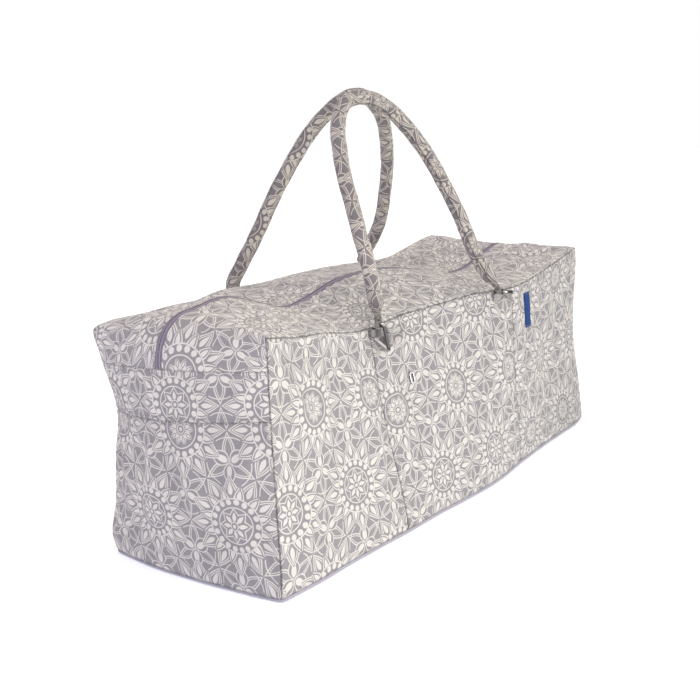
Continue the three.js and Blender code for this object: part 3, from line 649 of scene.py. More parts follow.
def end_place(end, side, rise, t):
    """Points between a corner seam and the middle of an end, swelling outward."""
    rise, t = np.broadcast_arrays(rise, t)
    edge = corner(end, side, rise)
    half = np.full(rise.shape, -ZIP_HALF if side == "front" else ZIP_HALF)
    middle = np.stack([follow(end, "mid x", rise), half, follow(end, "mid z", rise)], -1)
    place = edge + (middle - edge) * t[..., None]
    place[..., 0] += (middle[..., 0] - edge[..., 0]) * t * (1 - t)
    return place


def end_grid(end, rise, across):
    """Points of an end from the front corner seam to the back one."""
    rise, across = np.broadcast_arrays(rise, across)
    width = 0.485  # the rest, in the middle, lies under the zip
    front_half = end_place(end, "front", rise, np.clip(across / width, 0, 1))
    back_half = end_place(end, "back", rise, np.clip((1 - across) / width, 0, 1))
    share = np.clip((across - width) / (1 - 2 * width), 0, 1)[..., None]
    return front_half * (1 - share) + back_half * share


ends = {}
for side, end, way, shift in (("left", LEFT_END, 1, (8, 26)), ("right", RIGHT_END, -1, (60, 10))):
    for part, low, high, move in (("panel", 0.0, BAND_LOW, 0), ("band", BAND_LOW, BAND_TOP, 47)):
        across = places(END_WIDE, CLOTH_PITCH)[None]
        rise = low + places((high - low) * END_TALL, CLOTH_PITCH)[:, None] * (high - low)
        tall_panel = part == "panel"
        seams = {"left": (0.7 * way, 0.7, 0), "right": (0.7 * way, -0.7, 0)}
        seams["low"] = (1.5 * way, 0, -1.3) if tall_panel else (0.5 * way, 0, 0)
        seams["high"] = ((0.5 if tall_panel else 0.35) * way, 0, 0)
        relief = 1.5 * creases(across, rise, END_FOLDS, END_WIDE, END_TALL)
        relief = relief + drift(across * END_WIDE, rise * END_TALL, 13, 80, 0.8)
        shadow = shaded(across, rise, END_SHADE, END_WIDE, END_TALL)
        name, grid = f"{side}_end_{part}", end_grid(end, rise, across)
        print_at = (shift[0] + move, shift[1] + move)
        faint = ("low",) if tall_panel else ()
        ends[side, part] = sew(
            f"{name}_cloth", grid, seams, relief, side == "left", print_at, shadow=shadow, faint=faint
        )
        sewn_cloth(ends[side, part], body_print, name)

# Top: two long strips of printed cotton, one each side of the zip, that run over both ends down to the bands.
# They sag along the zip and are hemmed beside it.

TOP_LONG, TOP_WIDE = 760, 122
ZIP_REACH = 304.0
NOSE_POWER = 0.94
TOP_CROWN = {"front": 1.0, "back": 0.5}
TOP_FOLDS = {
    "front": [
        (0.13, 0.10, 0.20, 0.85, 8, 2.4), (0.24, 0.95, 0.30, 0.30, 10, 2.6), (0.33, 0.25, 0.39, 0.90, 9, 2.4),
        (0.36, 0.20, 0.46, 0.35, 7, 2.0), (0.47, 0.90, 0.54, 0.35, 10, 2.2), (0.60, 0.30, 0.66, 0.90, 9, 2.6),
        (0.62, 0.12, 0.72, 0.30, 7, 2.0), (0.74, 0.85, 0.80, 0.25, 9, 2.8), (0.90, 0.12, 0.82, 0.85, 9, 2.6),
        (0.05, 0.20, 0.09, 0.70, 8, 1.8), (0.95, 0.20, 0.91, 0.75, 8, 2.0),
    ],
    "back": [
        (0.13, 0.30, 0.20, 0.85, 9, -2.4), (0.26, 0.90, 0.31, 0.20, 10, 2.6),
        (0.42, 0.20, 0.37, 0.85, 10, 2.2),
        (0.52, 0.85, 0.57, 0.20, 11, 2.2), (0.66, 0.15, 0.68, 0.85, 9, 2.8), (0.77, 0.85, 0.73, 0.25, 9, 2.6),
        (0.90, 0.12, 0.83, 0.85, 9, 2.8), (0.05, 0.20, 0.09, 0.70, 8, 1.8), (0.95, 0.20, 0.91, 0.75, 8, 2.0),
    ],
}
# Shade in the valleys of the top: share of the length, share of the way to the zip, spreads and depth
TOP_SHADE = {"front": [(0.43, 0.8, 40, 16, 0.05)], "back": [(0.76, 0.45, 60, 40, 0.13)]}


def zip_nose(end, way, rise):
    """The zip line where it curves over an end."""
    turn = (rise - BAND_TOP) / (1 - BAND_TOP) * math.pi / 2
    foot_x, foot_z = follow(end, "mid x", BAND_TOP), follow(end, "mid z", BAND_TOP)
    crest = follow(LONG_EDGES, "zip z", 0.0 if way < 0 else 1.0)
    out, up = (np.clip(wave(turn), 0, 1) ** NOSE_POWER for wave in (np.cos, np.sin))
    start = way * ZIP_REACH
    return np.stack([start + (foot_x - start) * out, 0 * up, foot_z + (crest - foot_z) * up], -1)


nose_rises = np.linspace(BAND_TOP, 1, 121)[:-1]
top_shares = np.linspace(0, 1, 801)
top_height = follow(LONG_EDGES, "zip z", top_shares)
zip_top = np.stack([(top_shares * 2 - 1) * ZIP_REACH, 0 * top_shares, top_height], -1)
zip_left, zip_right = zip_nose(LEFT_END, -1, nose_rises), zip_nose(RIGHT_END, 1, nose_rises)
zip_line = np.concatenate([zip_left, zip_top, zip_right[::-1]])
zip_run = unit(np.gradient(zip_line, axis=0))
zip_out = np.stack([-zip_run[:, 2], 0 * zip_run[:, 0], zip_run[:, 0]], -1)
zip_length = run_length(zip_line)
zip_end = zip_length[-1]


def spaced(line, at):
    """A finely drawn line read at lengths along the zip."""
    return np.stack([np.interp(at, zip_length, line[:, axis]) for axis in range(line.shape[1])], -1)


def top_strip(side, at, across):
    """Points of a top strip, from lengths along the zip and shares of the way in from its outer seam."""
    left_nose, right_nose = (soften(corner(end, side, nose_rises)) for end in (LEFT_END, RIGHT_END))
    seam = np.concatenate([left_nose, wall(side, top_shares, 1.0), right_nose[::-1]])
    lift = np.concatenate([nose_rises, np.ones_like(top_shares), nose_rises[::-1]])
    over = np.clip((lift - BAND_TOP) / (1 - BAND_TOP) * 4, 0, 1)[:, None]
    edge, zip_at, out = spaced(seam, at)[:, None], spaced(zip_line, at)[:, None], spaced(zip_out, at)[:, None]
    over = spaced(over, at)[:, None]
    hem = np.array([0, -ZIP_HALF if side == "front" else ZIP_HALF, 0])
    t = across[None, :, None]
    flat = edge + (zip_at + hem - edge) * t
    bulge = 0
    for end, here in ((LEFT_END, at < zip_end / 2), (RIGHT_END, at >= zip_end / 2)):
        first = end_place(end, side, np.array([[BAND_TOP]]), across[None])[0]
        line = first[0] + (first[-1] - first[0]) * across[:, None]
        bulge = bulge + (first - line)[None] * here[:, None, None]
    return flat + bulge * (1 - over) + out * (TOP_CROWN[side] * 4 * t * (1 - t)) * over


strips = {}
for side, way, shift in (("front", 1, (20, 5)), ("back", -1, (64, 44))):
    at = places(zip_end, 3.2) * zip_end
    across = places(TOP_WIDE, CLOTH_PITCH)
    along, share = (at / zip_end)[:, None], across[None]
    on_top = np.clip((np.minimum(at, zip_end - at) - 40) / 25, 0, 1)[:, None, None]
    leaning = np.where(at < zip_end / 2, 0.7, -0.7)[:, None, None] * np.array([1.0, 0, 0])
    leaning = leaning + np.array([0, 0.7 * way, 0])
    outer_turn = leaning * (1 - on_top) + np.array([0, 0.7 * way, -0.7]) * on_top
    hem_turn = -spaced(zip_out, at)[:, None] * 0.55
    seams = {"low": (0.35, 0, 0), "high": (-0.35, 0, 0), "left": outer_turn, "right": hem_turn}
    relief = 1.2 * creases(along, share, TOP_FOLDS[side], zip_end, TOP_WIDE)
    relief = relief + drift(along * TOP_LONG, share * TOP_WIDE, 21 + way, 60, 0.6)
    relief = relief * (1 - 0.8 * soft_step(share, 0.5, 0.95))
    # Painted light: lighter where the strips come over the left end
    shadow = shaded(along, share, TOP_SHADE[side], zip_end, TOP_WIDE)
    shadow = shadow - 0.06 * np.clip((120 - at) / 50, 0, 1)[:, None]
    grid = top_strip(side, at, across)
    strips[side] = sew(f"top_{side}_cloth", grid, seams, relief, side == "front", shift, shadow=shadow)
    sewn_cloth(strips[side], body_print, f"top_{side}_strip")

# Zip: a woven tape under the two hems, with a nylon coil of small teeth sewn along its middle.
# The runner is parked low on the right end, pressed from sheet metal with a short pull.

TAPE_HALF = 6.2
# Pitches of the tape's weave, in metres as its material reads them
TWILL, RIB = 0.0014, 0.0009
at = np.linspace(0, zip_end, 300)
aside = np.linspace(-TAPE_HALF, TAPE_HALF, 9)
tape_line, tape_out = spaced(zip_line, at)[:, None], spaced(zip_out, at)[:, None]
sunk = 1.2 * (np.abs(aside) / TAPE_HALF) ** 2
tape_grid = tape_line - tape_out * sunk[None, :, None] + np.array([0, 1.0, 0]) * aside[None, :, None]
tape = sew("zip_webbing", tape_grid, {}, np.zeros(tape_grid.shape[:2]), True, (0, 0), 0.7)

material, tone = blank_material("zip_tape_weave")
cut, axes = on_cut(tone)
twill, rib = (axes + axes.also(1)).ripple(TWILL), axes.ripple(RIB)
tape_colour = tint(tone, twill * 0.35 + 0.5, linear(142, 134, 150), linear(166, 158, 174))
# Painted shadow of the hems: the tape darkens towards its edges, which lie under them
hem_shadow = abs(axes - TAPE_HALF / 1000).clipped(1 / 0.0009, -2.1)
tape_colour = tint(tone, hem_shadow, tape_colour, linear(116, 108, 124))
painted(tone, {
    "Base Color": tape_colour, "Roughness": 0.7 + twill * 0.06,
    "Normal": raised(tone, 0.5, 0.0002, twill + rib), "Sheen Weight": 0.15,
})
sewn_cloth(tape, material, "zip_tape")


def thread_tree():
    """A node tree that lays small rounded lengths of thread, or teeth, end to end along drawn lines."""
    tree = bpy.data.node_groups.new("thread_run", "GeometryNodeTree")
    face = tree.interface
    face.new_socket("Geometry", in_out="INPUT", socket_type="NodeSocketGeometry")
    sizes = {}
    for name, value in (("Pitch", 0.003), ("Along", 0.0022), ("Across", 0.0006), ("Up", 0.0006)):
        sizes[name] = face.new_socket(name, in_out="INPUT", socket_type="NodeSocketFloat")
        sizes[name].default_value = value
    sizes["Seed"] = face.new_socket("Seed", in_out="INPUT", socket_type="NodeSocketInt")
    sizes["Finish"] = face.new_socket("Finish", in_out="INPUT", socket_type="NodeSocketMaterial")
    face.new_socket("Geometry", in_out="OUTPUT", socket_type="NodeSocketGeometry")

    def add(kind, settings=None, **links):
        made = tree.nodes.new(kind)
        for name, value in (settings or {}).items():
            setattr(made, name, value)
        for name, value in links.items():
            socket = made.inputs[name.replace("_", " ")]
            if isinstance(value, bpy.types.NodeSocket):
                tree.links.new(value, socket)
            else:
                socket.default_value = value
        return made

    given = add("NodeGroupInput")
    lines = add("GeometryNodeMeshToCurve", Mesh=given.outputs["Geometry"])
    spaced_out = add("GeometryNodeResampleCurve", {"mode": "LENGTH"}, Curve=lines.outputs[0],
                     Length=given.outputs["Pitch"])
    bead = add("GeometryNodeMeshUVSphere", Segments=8, Rings=5, Radius=0.5)
    along, across, up = (given.outputs[name] for name in ("Along", "Across", "Up"))
    size = add("ShaderNodeCombineXYZ", X=along, Y=across, Z=up)
    uneven = add("FunctionNodeRandomValue", {"data_type": "FLOAT"}, Seed=given.outputs["Seed"])
    uneven.inputs[2].default_value, uneven.inputs[3].default_value = 0.9, 1.08
    scale = add("ShaderNodeVectorMath", {"operation": "SCALE"}, Scale=uneven.outputs[1])
    tree.links.new(size.outputs[0], scale.inputs[0])
    way = add("GeometryNodeInputTangent")
    turn = add("FunctionNodeAlignRotationToVector", {"axis": "X"}, Vector=way.outputs[0])
    laid = add("GeometryNodeInstanceOnPoints", Points=spaced_out.outputs[0], Instance=bead.outputs[0],
               Rotation=turn.outputs[0], Scale=scale.outputs[0])
    real = add("GeometryNodeRealizeInstances", Geometry=laid.outputs[0])
    soft = add("GeometryNodeSetShadeSmooth", Geometry=real.outputs[0])
    dyed = add("GeometryNodeSetMaterial", Geometry=soft.outputs[0], Material=given.outputs["Finish"])
    add("NodeGroupOutput", Geometry=dyed.outputs[0])
    return tree, {name: socket.identifier for name, socket in sizes.items()}


run_tree, run_inputs = thread_tree()


def lay_along(name, lines, finish, pitch, size, seed):
    """Stitches or teeth along lines of points, as one plain mesh."""
    points, edges, count = [], [], 0
    for line in lines:
        points += (np.asarray(line) / 1000).tolist()
        edges += [(count + i, count + i + 1) for i in range(len(line) - 1)]
        count += len(line)
    mesh = bpy.data.meshes.new(f"{name}_line")
    mesh.from_pydata(points, edges, [])
    drawn = placed(f"{name}_line", mesh)
    run = drawn.modifiers.new("run", "NODES")
    run.node_group = run_tree
    for key, value in zip(("Pitch", "Along", "Across", "Up"), (pitch, *size)):
        run[run_inputs[key]] = value / 1000
    run[run_inputs["Seed"]] = seed
    run[run_inputs["Finish"]] = finish
    shown = drawn.evaluated_get(bpy.context.evaluated_depsgraph_get())
    made = placed(name, bpy.data.meshes.new_from_object(shown))
    drawn.modifiers.clear()
    bpy.data.objects.remove(drawn)
    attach(made, "root")


def spun(name, low, high, scale, detail, roughness, rougher, sheen=0.0):
    """The finish of a nylon coil or a thread: one slightly uneven colour."""
    material, tone = blank_material(name)
    grain = speckle(tone, tone.node("ShaderNodeTexCoord", None, None, 3), scale, detail)
    painted(tone, {
        "Base Color": tint(tone, grain, low, high), "Roughness": roughness + grain * rougher,
        "Sheen Weight": sheen,
    })
    return material


coil_nylon = spun("coil_nylon", linear(94, 87, 101), linear(116, 109, 123), 700.0, 2.0, 0.32, 0.16)
coil_at = np.linspace(0, zip_end, 600)
coil_mid = spaced(zip_line, coil_at) + spaced(zip_out, coil_at) * 0.1
coil_rows = [coil_mid + np.array([0, -0.6, 0]), (coil_mid + np.array([0, 0.6, 0]))[1:]]
lay_along("zip_coil", coil_rows, coil_nylon, 1.5, (1.1, 1.4, 0.8), 3)

sewing_thread = spun(
    "sewing_thread", linear(128, 121, 138), linear(172, 165, 178), 1200.0, 1.0, 0.55, 0.2, 0.2
)
STITCH_PITCH, STITCH = 3.2, (2.5, 0.55, 0.5)


def stitch_line(panel, row=None, column=None):
    """A line on a panel's face along one of its rows or columns, clear of the turned-in ends."""
    clear, lift = slice(4, -4), 0.12
    if row is None:
        pick = clear, np.abs(panel.u - column).argmin()
    else:
        pick = np.abs(panel.v - row).argmin(), clear
    return panel.face[pick] + panel.normal[pick] * lift


bands = [ends[side, "band"] for side in ("left", "right")]
pocket = front["front_pocket"]
for name, lines, seed in (
    ("hem", [stitch_line(strip, column=strip.u[-1] - 4.8) for strip in strips.values()], 5),
    ("band", [stitch_line(band, row=band.v[-1] - 3.2) for band in bands]
     + [stitch_line(band, row=3.2) for band in bands], 6),
    ("pocket", [stitch_line(pocket, column=column) for column in (4.8, pocket.u[-1] - 4.8)], 7),
):
    lay_along(f"{name}_stitches", lines, sewing_thread, STITCH_PITCH, STITCH, seed)


def skin(rings, loop):
    """Points and faces of a closed skin over rings of points; a loop joins its last ring to its first."""
    rings = np.asarray(rings, float)
    count, around = rings.shape[:2]
    index = np.arange(count * around).reshape(count, around)
    after = np.roll(index, -1, 0) if loop else index[1:]
    first = index if loop else index[:-1]
    quads = np.stack([first, np.roll(first, -1, 1), np.roll(after, -1, 1), after], -1).reshape(-1, 4).tolist()
    if not loop:
        quads += [index[0, ::-1].tolist(), index[-1].tolist()]
    return rings.reshape(-1, 3), quads


bright_metal, tone = blank_material("bright_nickel")
here = tone.node("ShaderNodeTexCoord", None, None, 3)
smudge, scuff = speckle(tone, here, 240.0, 4.0), speckle(tone, here, 1500.0, 2.0)
# Painted shade and painted dark reflections on the metal, from the value that each piece carries at its
# points
painted_metal_shade = painted_shade_node(tone)
plate = tint(tone, smudge, linear(206, 205, 203), linear(240, 239, 238))
painted(tone, {
    "Base Color": tint(tone, painted_metal_shade, plate, linear(58, 56, 54)), "Metallic": 1.0,
    "Roughness": 0.14 + smudge * 0.14 + painted_metal_shade * 0.2, "Normal": raised(tone, 0.08, 0.0001, scuff),
})

PARKED = BAND_TOP + (1 - BAND_TOP) * 0.3
before, runner_at, after = (zip_nose(RIGHT_END, 1, np.array([PARKED + step]))[0] for step in (-0.01, 0, 0.01))
runner_run = unit(after - before)
runner_side = np.array([0.0, 1, 0])
runner_out = np.cross(runner_side, runner_run)


def blunted(wave, power):
    """A wave that lingers at its ends."""
    return np.sign(wave) * np.abs(wave) ** power


def squarish(turn, half_wide, half_tall, blunt_wide, blunt_tall):
    """An outline between an oval and a rectangle."""
    x, y = blunted(np.cos(turn), blunt_wide), blunted(np.sin(turn), blunt_tall)
    return np.column_stack([half_wide * x, half_tall * y])


def slab(outline, heights):
    """Rings of a plate: an outline drawn in or out a little at each height."""
    reach = np.abs(outline).max()
    rings = [(outline * (1 - inset / reach), np.full(len(outline), height)) for height, inset in heights]
    return [np.column_stack(ring) for ring in rings]


def on_runner(rings, lengthwise, lift):
    rings = np.asarray(rings)
    place = runner_at + runner_run * lengthwise + runner_out * lift
    return place + rings[..., :1] * runner_side + rings[..., 1:2] * runner_run + rings[..., 2:3] * runner_out


def joined(parts):
    """Several skins as one: their points, their faces, and any further values at the points."""
    points, faces, *values = zip(*parts)
    starts = np.cumsum([0] + [len(some) for some in points]).tolist()
    faces = [[i + start for i in face] for start, some in zip(starts, faces) for face in some]
    return np.concatenate(points), faces, *(np.concatenate(value) for value in values)


turn = np.linspace(0, math.tau, 40, endpoint=False)
SHIELD_TALL = 6.0
shield = squarish(turn, 4.4, SHIELD_TALL, 0.6, 0.7)
shield[:, 0] *= 1 + 0.1 * shield[:, 1] / SHIELD_TALL
pull = squarish(turn, 2.7, 7.0, 0.7, 0.8)
arch = []
for a in np.linspace(0, math.pi, 13):
    y, z = 4.5 * math.cos(a), 1.4 + 1.7 * math.sin(a)
    arch.append([(math.cos(k), y * (1 + 0.12 * math.sin(k)), z + 0.45 * math.sin(k)) for k in turn[::4]])
points, faces = joined([skin(part, False) for part in (
    on_runner(slab(shield, [(0.2, 0.3), (0.5, 0), (1.4, 0), (1.8, 0.5)]), 3.6, 0),
    on_runner(slab(pull, [(0, 0.4), (0.3, 0), (0.7, 0), (1.0, 0.4)]), -3.0, 2.3),
    on_runner(arch, 3.6, 0),
)])
tie(mesh_piece("zip_runner", points, faces), bright_metal, "zip_slider")

# Base: one flat piece of plain lilac cotton over a stiffener, turned up at its rim.
# The rim is sewn to the foot of every wall and shows as a thin pale line.

BASE_THICK = 2.0
RIM_PROFILE = ((2.6, 3.3), (1.2, 3.6), (0.2, 3.1), (-0.3, 2.3), (-0.2, 1.3), (0.5, 0.4), (2.0, 0.0))
FLOOR_STEPS = (0.93, 0.8, 0.6, 0.4, 0.2, 0.04)
LONG_STEPS, END_STEPS = 180, 60
rim_shares, end_shares = np.linspace(0, 1, LONG_STEPS + 1), np.linspace(0, 1, END_STEPS + 1)
outline = np.concatenate([
    wall("front", rim_shares, 0.0)[:-1], end_grid(RIGHT_END, 0.0, end_shares)[:-1],
    wall("back", rim_shares, 0.0)[::-1][:-1], end_grid(LEFT_END, 0.0, end_shares)[::-1][:-1],
])[:, :2]
on_end = np.repeat([0.0, 1.0, 0.0, 1.0], [LONG_STEPS, END_STEPS] * 2)
for _ in range(3):
    on_end = (np.roll(on_end, 1) + on_end + np.roll(on_end, -1)) / 3
    outline = (np.roll(outline, 1, 0) + outline * 2 + np.roll(outline, -1, 0)) / 4
edge_run = unit(np.roll(outline, -1, 0) - np.roll(outline, 1, 0))
edge_out = np.column_stack([edge_run[:, 1], -edge_run[:, 0]])
wave = run_length(np.vstack([outline, outline[:1]]))[:-1]
rings = []
for inset, height in RIM_PROFILE:
    sway = 0.25 * np.sin(wave / 9 + 1.5 * np.sin(wave / 41)) * (0.4 < height < 3.3) - inset - 0.8 * on_end
    rings.append(np.column_stack([outline + edge_out * sway[:, None], height * (1 - 0.35 * on_end)]))
for scales, height in ((FLOOR_STEPS, 0.0), (FLOOR_STEPS[::-1], BASE_THICK)):
    rings += [np.column_stack([outline * scale, np.full(len(outline), height)]) for scale in scales]
rings.append(np.column_stack([outline - edge_out * 3.4, np.full(len(outline), BASE_THICK)]))
points, faces = skin(np.asarray(rings)[::-1], True)
base = mesh_piece("base_cloth", points, faces, np.asarray(points)[:, :2])


def plain_cotton(name, low, high, turned=False):
    """Matt plain-woven cotton in one colour, slightly uneven, with its weave as fine relief."""
    material, tone = blank_material(name)
    here = tone.node("ShaderNodeTexCoord", None, None, 3)
    axes = tone.node("ShaderNodeSeparateXYZ", None, {0: here})
    pitch = 0.0009
    weave = axes.ripple(pitch) * (axes.also(1) + axes.also(2)).ripple(pitch)
    slub = speckle(tone, here, 160.0, 4.0)
    colour = tint(tone, slub * 0.8 + weave * 0.1 + 0.1, low, high)
    # The painted shade that the piece carries at its points darkens the colour
    if turned:
        painted_shade = painted_shade_node(tone)
        colour = shade(tone, colour, 1.0 - painted_shade * 0.85)
    painted(tone, {
        "Base Color": colour, "Roughness": 0.84 + slub * 0.1,
        "Normal": raised(tone, 0.4, 0.00015, weave + slub),
        "Sheen Weight": 0.2, "Sheen Roughness": 0.6, "Specular IOR Level": 0.22,
    })
    return material


base_lilac = plain_cotton("base_lilac", linear(156, 153, 163), linear(180, 177, 187))
tie(base, base_lilac, "base_panel")
after = np.roll(outline, -1, 0)
base_area = abs((outline[:, 0] * after[:, 1] - outline[:, 1] * after[:, 0]).sum()) / 2
base_area = base_area + BASE_RIM * np.linalg.norm(after - outline, axis=1).sum()
base_area / 1e6

# Side label: a blank blue woven tape folded in half and caught on the front, right of the pocket seam.
# It lies on the cloth and lifts a little at its loose end.


def wall_normal(side, share, rise):
    small = 0.004
    along = wall(side, share + small, rise) - wall(side, share - small, rise)
    up = wall(side, share, rise) - wall(side, share, rise - 2 * small)
    return unit(np.cross(along, up)) * (1 if side == "front" else -1)


def on_wall(share, rise):
    """The place, the way along, the way up and the way out of a thing that lies on the front."""
    out = wall_normal("front", share, rise)
    up = unit(np.array([0, 0, 1.0]) - out * out[2])
    return wall("front", share, rise), np.cross(up, out), up, out


LABEL = SimpleNamespace(wide=15.0, tall=43.0)
# Pitches of the label's weave, in metres
LABEL_RIB, LABEL_THREAD = 0.0008, 0.0006
place, along, up, out = on_wall(0.724, 0.84)
label_x = np.linspace(-0.5, 0.5, 21) * LABEL.wide
label_y = np.linspace(-0.5, 0.5, 45) * LABEL.tall
gx, gy = np.meshgrid(label_x, label_y)
slack = 1.05 + 0.25 * np.sin(gy / 6.0) * (0.5 - gy / LABEL.tall) + 0.2 * np.cos(gx / 4.4)
label_grid = place + gx[..., None] * along + gy[..., None] * up + slack[..., None] * out
label = sew("woven_label", label_grid, {}, np.zeros(gx.shape), False, (0, 0), 0.7)
material, tone = blank_material("label_weave")
cut, axes = on_cut(tone)
rib, thread = axes.also(1).ripple(LABEL_RIB), axes.ripple(LABEL_THREAD)
selvedge = abs(axes.math("MULTIPLY_ADD", axes, 2000 / LABEL.wide, -1.0)).clipped(14.0, -12.6)
fray = speckle(tone, cut, 300.0, 3.0)
colour = tint(tone, rib * 0.18 + thread * 0.1 + fray * 0.5 + 0.2, linear(6, 48, 108), linear(14, 74, 142))
colour = tint(tone, selvedge * 0.5, colour, linear(4, 36, 88))
painted(tone, {
    "Base Color": colour, "Roughness": 0.58 + fray * 0.2,
    "Normal": raised(tone, 0.5, 0.0002, rib + thread * 0.6),
    "Sheen Weight": 0.04, "Specular IOR Level": 0.15,
})
tie(label.piece, material, "side_label")
label_threads = [label_grid[row, 2:-2] + out * 0.15 for row in (2, 42)]
lay_along("label_stitches", label_threads, sewing_thread, 2.4, (1.9, 0.5, 0.45), 8)

# Pocket pull: a small bright loop of flat nickel-plated wire.
# It lies on the pocket panel, below and right of the left ring.

place, along, up, out = on_wall(0.375, 0.69)
line = squarish(np.linspace(0, math.tau, 72, endpoint=False), 3.1, 5.6, 0.45, 0.45)
ahead = unit(np.roll(line, -1, 0) - np.roll(line, 1, 0))
sideways = np.column_stack([ahead[:, 1], -ahead[:, 0]])
section = np.linspace(0, math.tau, 14, endpoint=False)


def bar_ring(middle, wide, thick, blunt=1.0):
    """A ring of points round a bar, from its middle and the two half-widths of its section."""
    return middle + np.outer(blunted(np.cos(section), blunt), wide) + np.outer(np.sin(section), thick)


PULL_LIFT, PULL_HALF_WIDE, PULL_HALF_THICK = 1.25, 1.35, 0.9
rings = []
for p, way in zip(line, sideways):
    flat_way = along * way[0] + up * way[1]
    spot = place + along * p[0] + up * p[1] + out * PULL_LIFT
    rings.append(bar_ring(spot, flat_way * PULL_HALF_WIDE, out * PULL_HALF_THICK))
points, faces = skin(rings, True)
# Painted shade on the wire, except on its face that looks out from the bag
painted_pull_shade = np.tile(np.clip(0.9 - 1.3 * np.sin(section), 0, 1), len(line))
tie(mesh_piece("pocket_puller", points, faces, None, painted_pull_shade), bright_metal, "pocket_pull")

# Rings: four bent rings of nickel-plated wire, each caught in a cloth tab that is sewn to the wall.
# A handle strap is folded round the ring's top bar.

EYE_RADIUS = 4.0
SEAT_GAP = 0.35
WIRE = 1.9
WIRE_BEND = 3.2
# Side, share, rise, way to the bar, the bar, reach of the far corner and its drop; out is away from the bag
RINGS = {
    "front_left": ("front", 0.292, 0.945, (2, -1.2, 13), (0, 12.6, 3), 19, 16),
    "front_right": ("front", 0.6255, 0.988, (-12.7, -2, 2.5), (-1.2, 16, 0.3), 16, 0),
    "back_left": ("back", 0.345, 0.88, (0, 0.5, 13), (0, 11.3, 6.5), 22, 9),
    "back_right": ("back", 0.707, 0.88, (0, 0.5, 13), (0, 11.3, 6.5), 22, 9),
}
ring_corners = {}
for name, (side, share, rise, to_bar, bar, toe, toe_drop) in RINGS.items():
    out = wall_normal(side, share, rise)
    flip = np.array([1, np.sign(out[1]), 1])
    heel = wall(side, share, rise) + out * (EYE_RADIUS + SEAT_GAP)
    bar_in = heel + np.array(to_bar) * flip
    bar_out = bar_in + np.array(bar) * flip
    far_corner = heel + unit(bar_out - bar_in) * toe - unit(bar_in - heel) * toe_drop
    ring_corners[name] = SimpleNamespace(heel=heel, bar_in=bar_in, bar_out=bar_out, toe=far_corner, out=out)
    corners = [heel, far_corner, bar_out, bar_in]
    line = []
    for i, p in enumerate(corners):
        before, after = corners[i - 1] - p, corners[(i + 1) % 4] - p
        bend = min(WIRE_BEND, np.linalg.norm(before) * 0.4, np.linalg.norm(after) * 0.4)
        start, end = p + unit(before) * bend, p + unit(after) * bend
        line += [start * (1 - t) ** 2 + p * 2 * t * (1 - t) + end * t * t for t in np.linspace(0, 1, 9)]
    line = np.array(line)
    across = unit(np.cross(bar_in - heel, far_corner - heel))
    ahead = unit(np.roll(line, -1, 0) - np.roll(line, 1, 0))
    flank = unit(np.cross(across, ahead))
    rings = [bar_ring(p, f * WIRE, across * WIRE) for p, f in zip(line, flank)]
    points, faces = skin(rings, True)
    face_way = np.cos(section)[:, None] * flank[:, None] + np.sin(section)[:, None] * across
    # Painted shade on the wire: its colour darkens where it stands upright or faces away from the light
    to_light = unit([-0.5, 0.6 * np.sign(out[1]), 0.6]) if toe_drop else unit([-0.85, -0.45, 0.15])
    upright = np.clip(1.6 - 2.2 * np.hypot(ahead[:, 0], ahead[:, 1]), 0, 1)[:, None]
    lit = face_way @ to_light
    painted_wire_shade = np.maximum(upright, np.clip(0.85 - 1.5 * lit if toe_drop else 4.5 * (0.88 - lit), 0, 1))
    tie(mesh_piece(f"{name}_wire", points, faces, None, painted_wire_shade), bright_metal, f"{name}_ring")

# Tabs: a folded strip of grey cotton round the inner side of each ring.
# Its two ends lie on each other on the wall and are sewn down with two rows of stitches.

TAB_ROUND, TAB_HALF_THICK, TAB_WIDE = 3.2, 0.38, 9.0
tab_cotton = plain_cotton("tab_grey", linear(150, 146, 147), linear(176, 171, 170), True)
# Place along the ring's side, side that the tongue lies to, tongue's length, painted shade behind the ring
TABS = {
    "front_left": (0.42, 1, 17, 0.95),
    "front_right": (0.5, -1, 13, 0.0),
    "back_left": (0.5, 1, 13, 0.4),
    "back_right": (0.5, 1, 13, 0.4),
}
tab_lines = []
for name, ring in ring_corners.items():
    at, tab_side, tongue, deep = TABS[name]
    side_way = unit(ring.bar_in - ring.heel)
    along = side_way * tab_side
    aside = unit(np.cross(ring.out, along))
    lift = np.cross(along, aside)
    length = np.linalg.norm(ring.bar_in - ring.heel)
    width = min(TAB_WIDE, length * 0.58)
    middle = ring.heel + side_way * length * at
    # The strip seen from its side: along the wall, round the wire and back over itself
    path = [(0.4 - tongue, -3.55), (-8, -3.55), (-4, -3.55), (-1.5, -3.5)]
    path += [(TAB_ROUND * math.cos(a), TAB_ROUND * math.sin(a)) for a in np.radians(np.arange(-90, 216, 15))]
    path += [(-4.2, -2.75), (-8, -2.8), (0.4 - tongue, -2.8)]
    path = np.array(path)
    ahead = unit(np.gradient(path, axis=0))
    over = np.column_stack([-ahead[:, 1], ahead[:, 0]])
    rings = []
    for p, way in zip(path, over):
        spot = middle + aside * p[0] + lift * p[1]
        thick_way = aside * way[0] + lift * way[1]
        rings.append(bar_ring(spot, along * (width / 2), thick_way * TAB_HALF_THICK, 0.35))
    points, faces = skin(rings, False)
    # Painted shade on the part of the tab that lies behind the ring
    hidden = np.clip((3.6 - path[:, 0]) / 3.0, 0, 1)
    tab = mesh_piece(f"{name}_loop", points, faces, None, np.repeat(deep * hidden, len(section)))
    tie(tab, tab_cotton, f"{name}_tab")
    for reach in (-6.5, 2.0 - tongue):
        row = middle + aside * reach - lift * 2.35
        tab_lines.append([row + along * s for s in np.linspace(-width * 0.42, width * 0.42, 6)])
lay_along("tab_stitches", tab_lines, sewing_thread, 1.8, (1.5, 0.5, 0.45), 9)

# Handles: two padded ropes covered in the printed cotton, seamed along the underside.
# Each end is gathered into a flat strap that is folded round a ring's bar and sewn across twice.

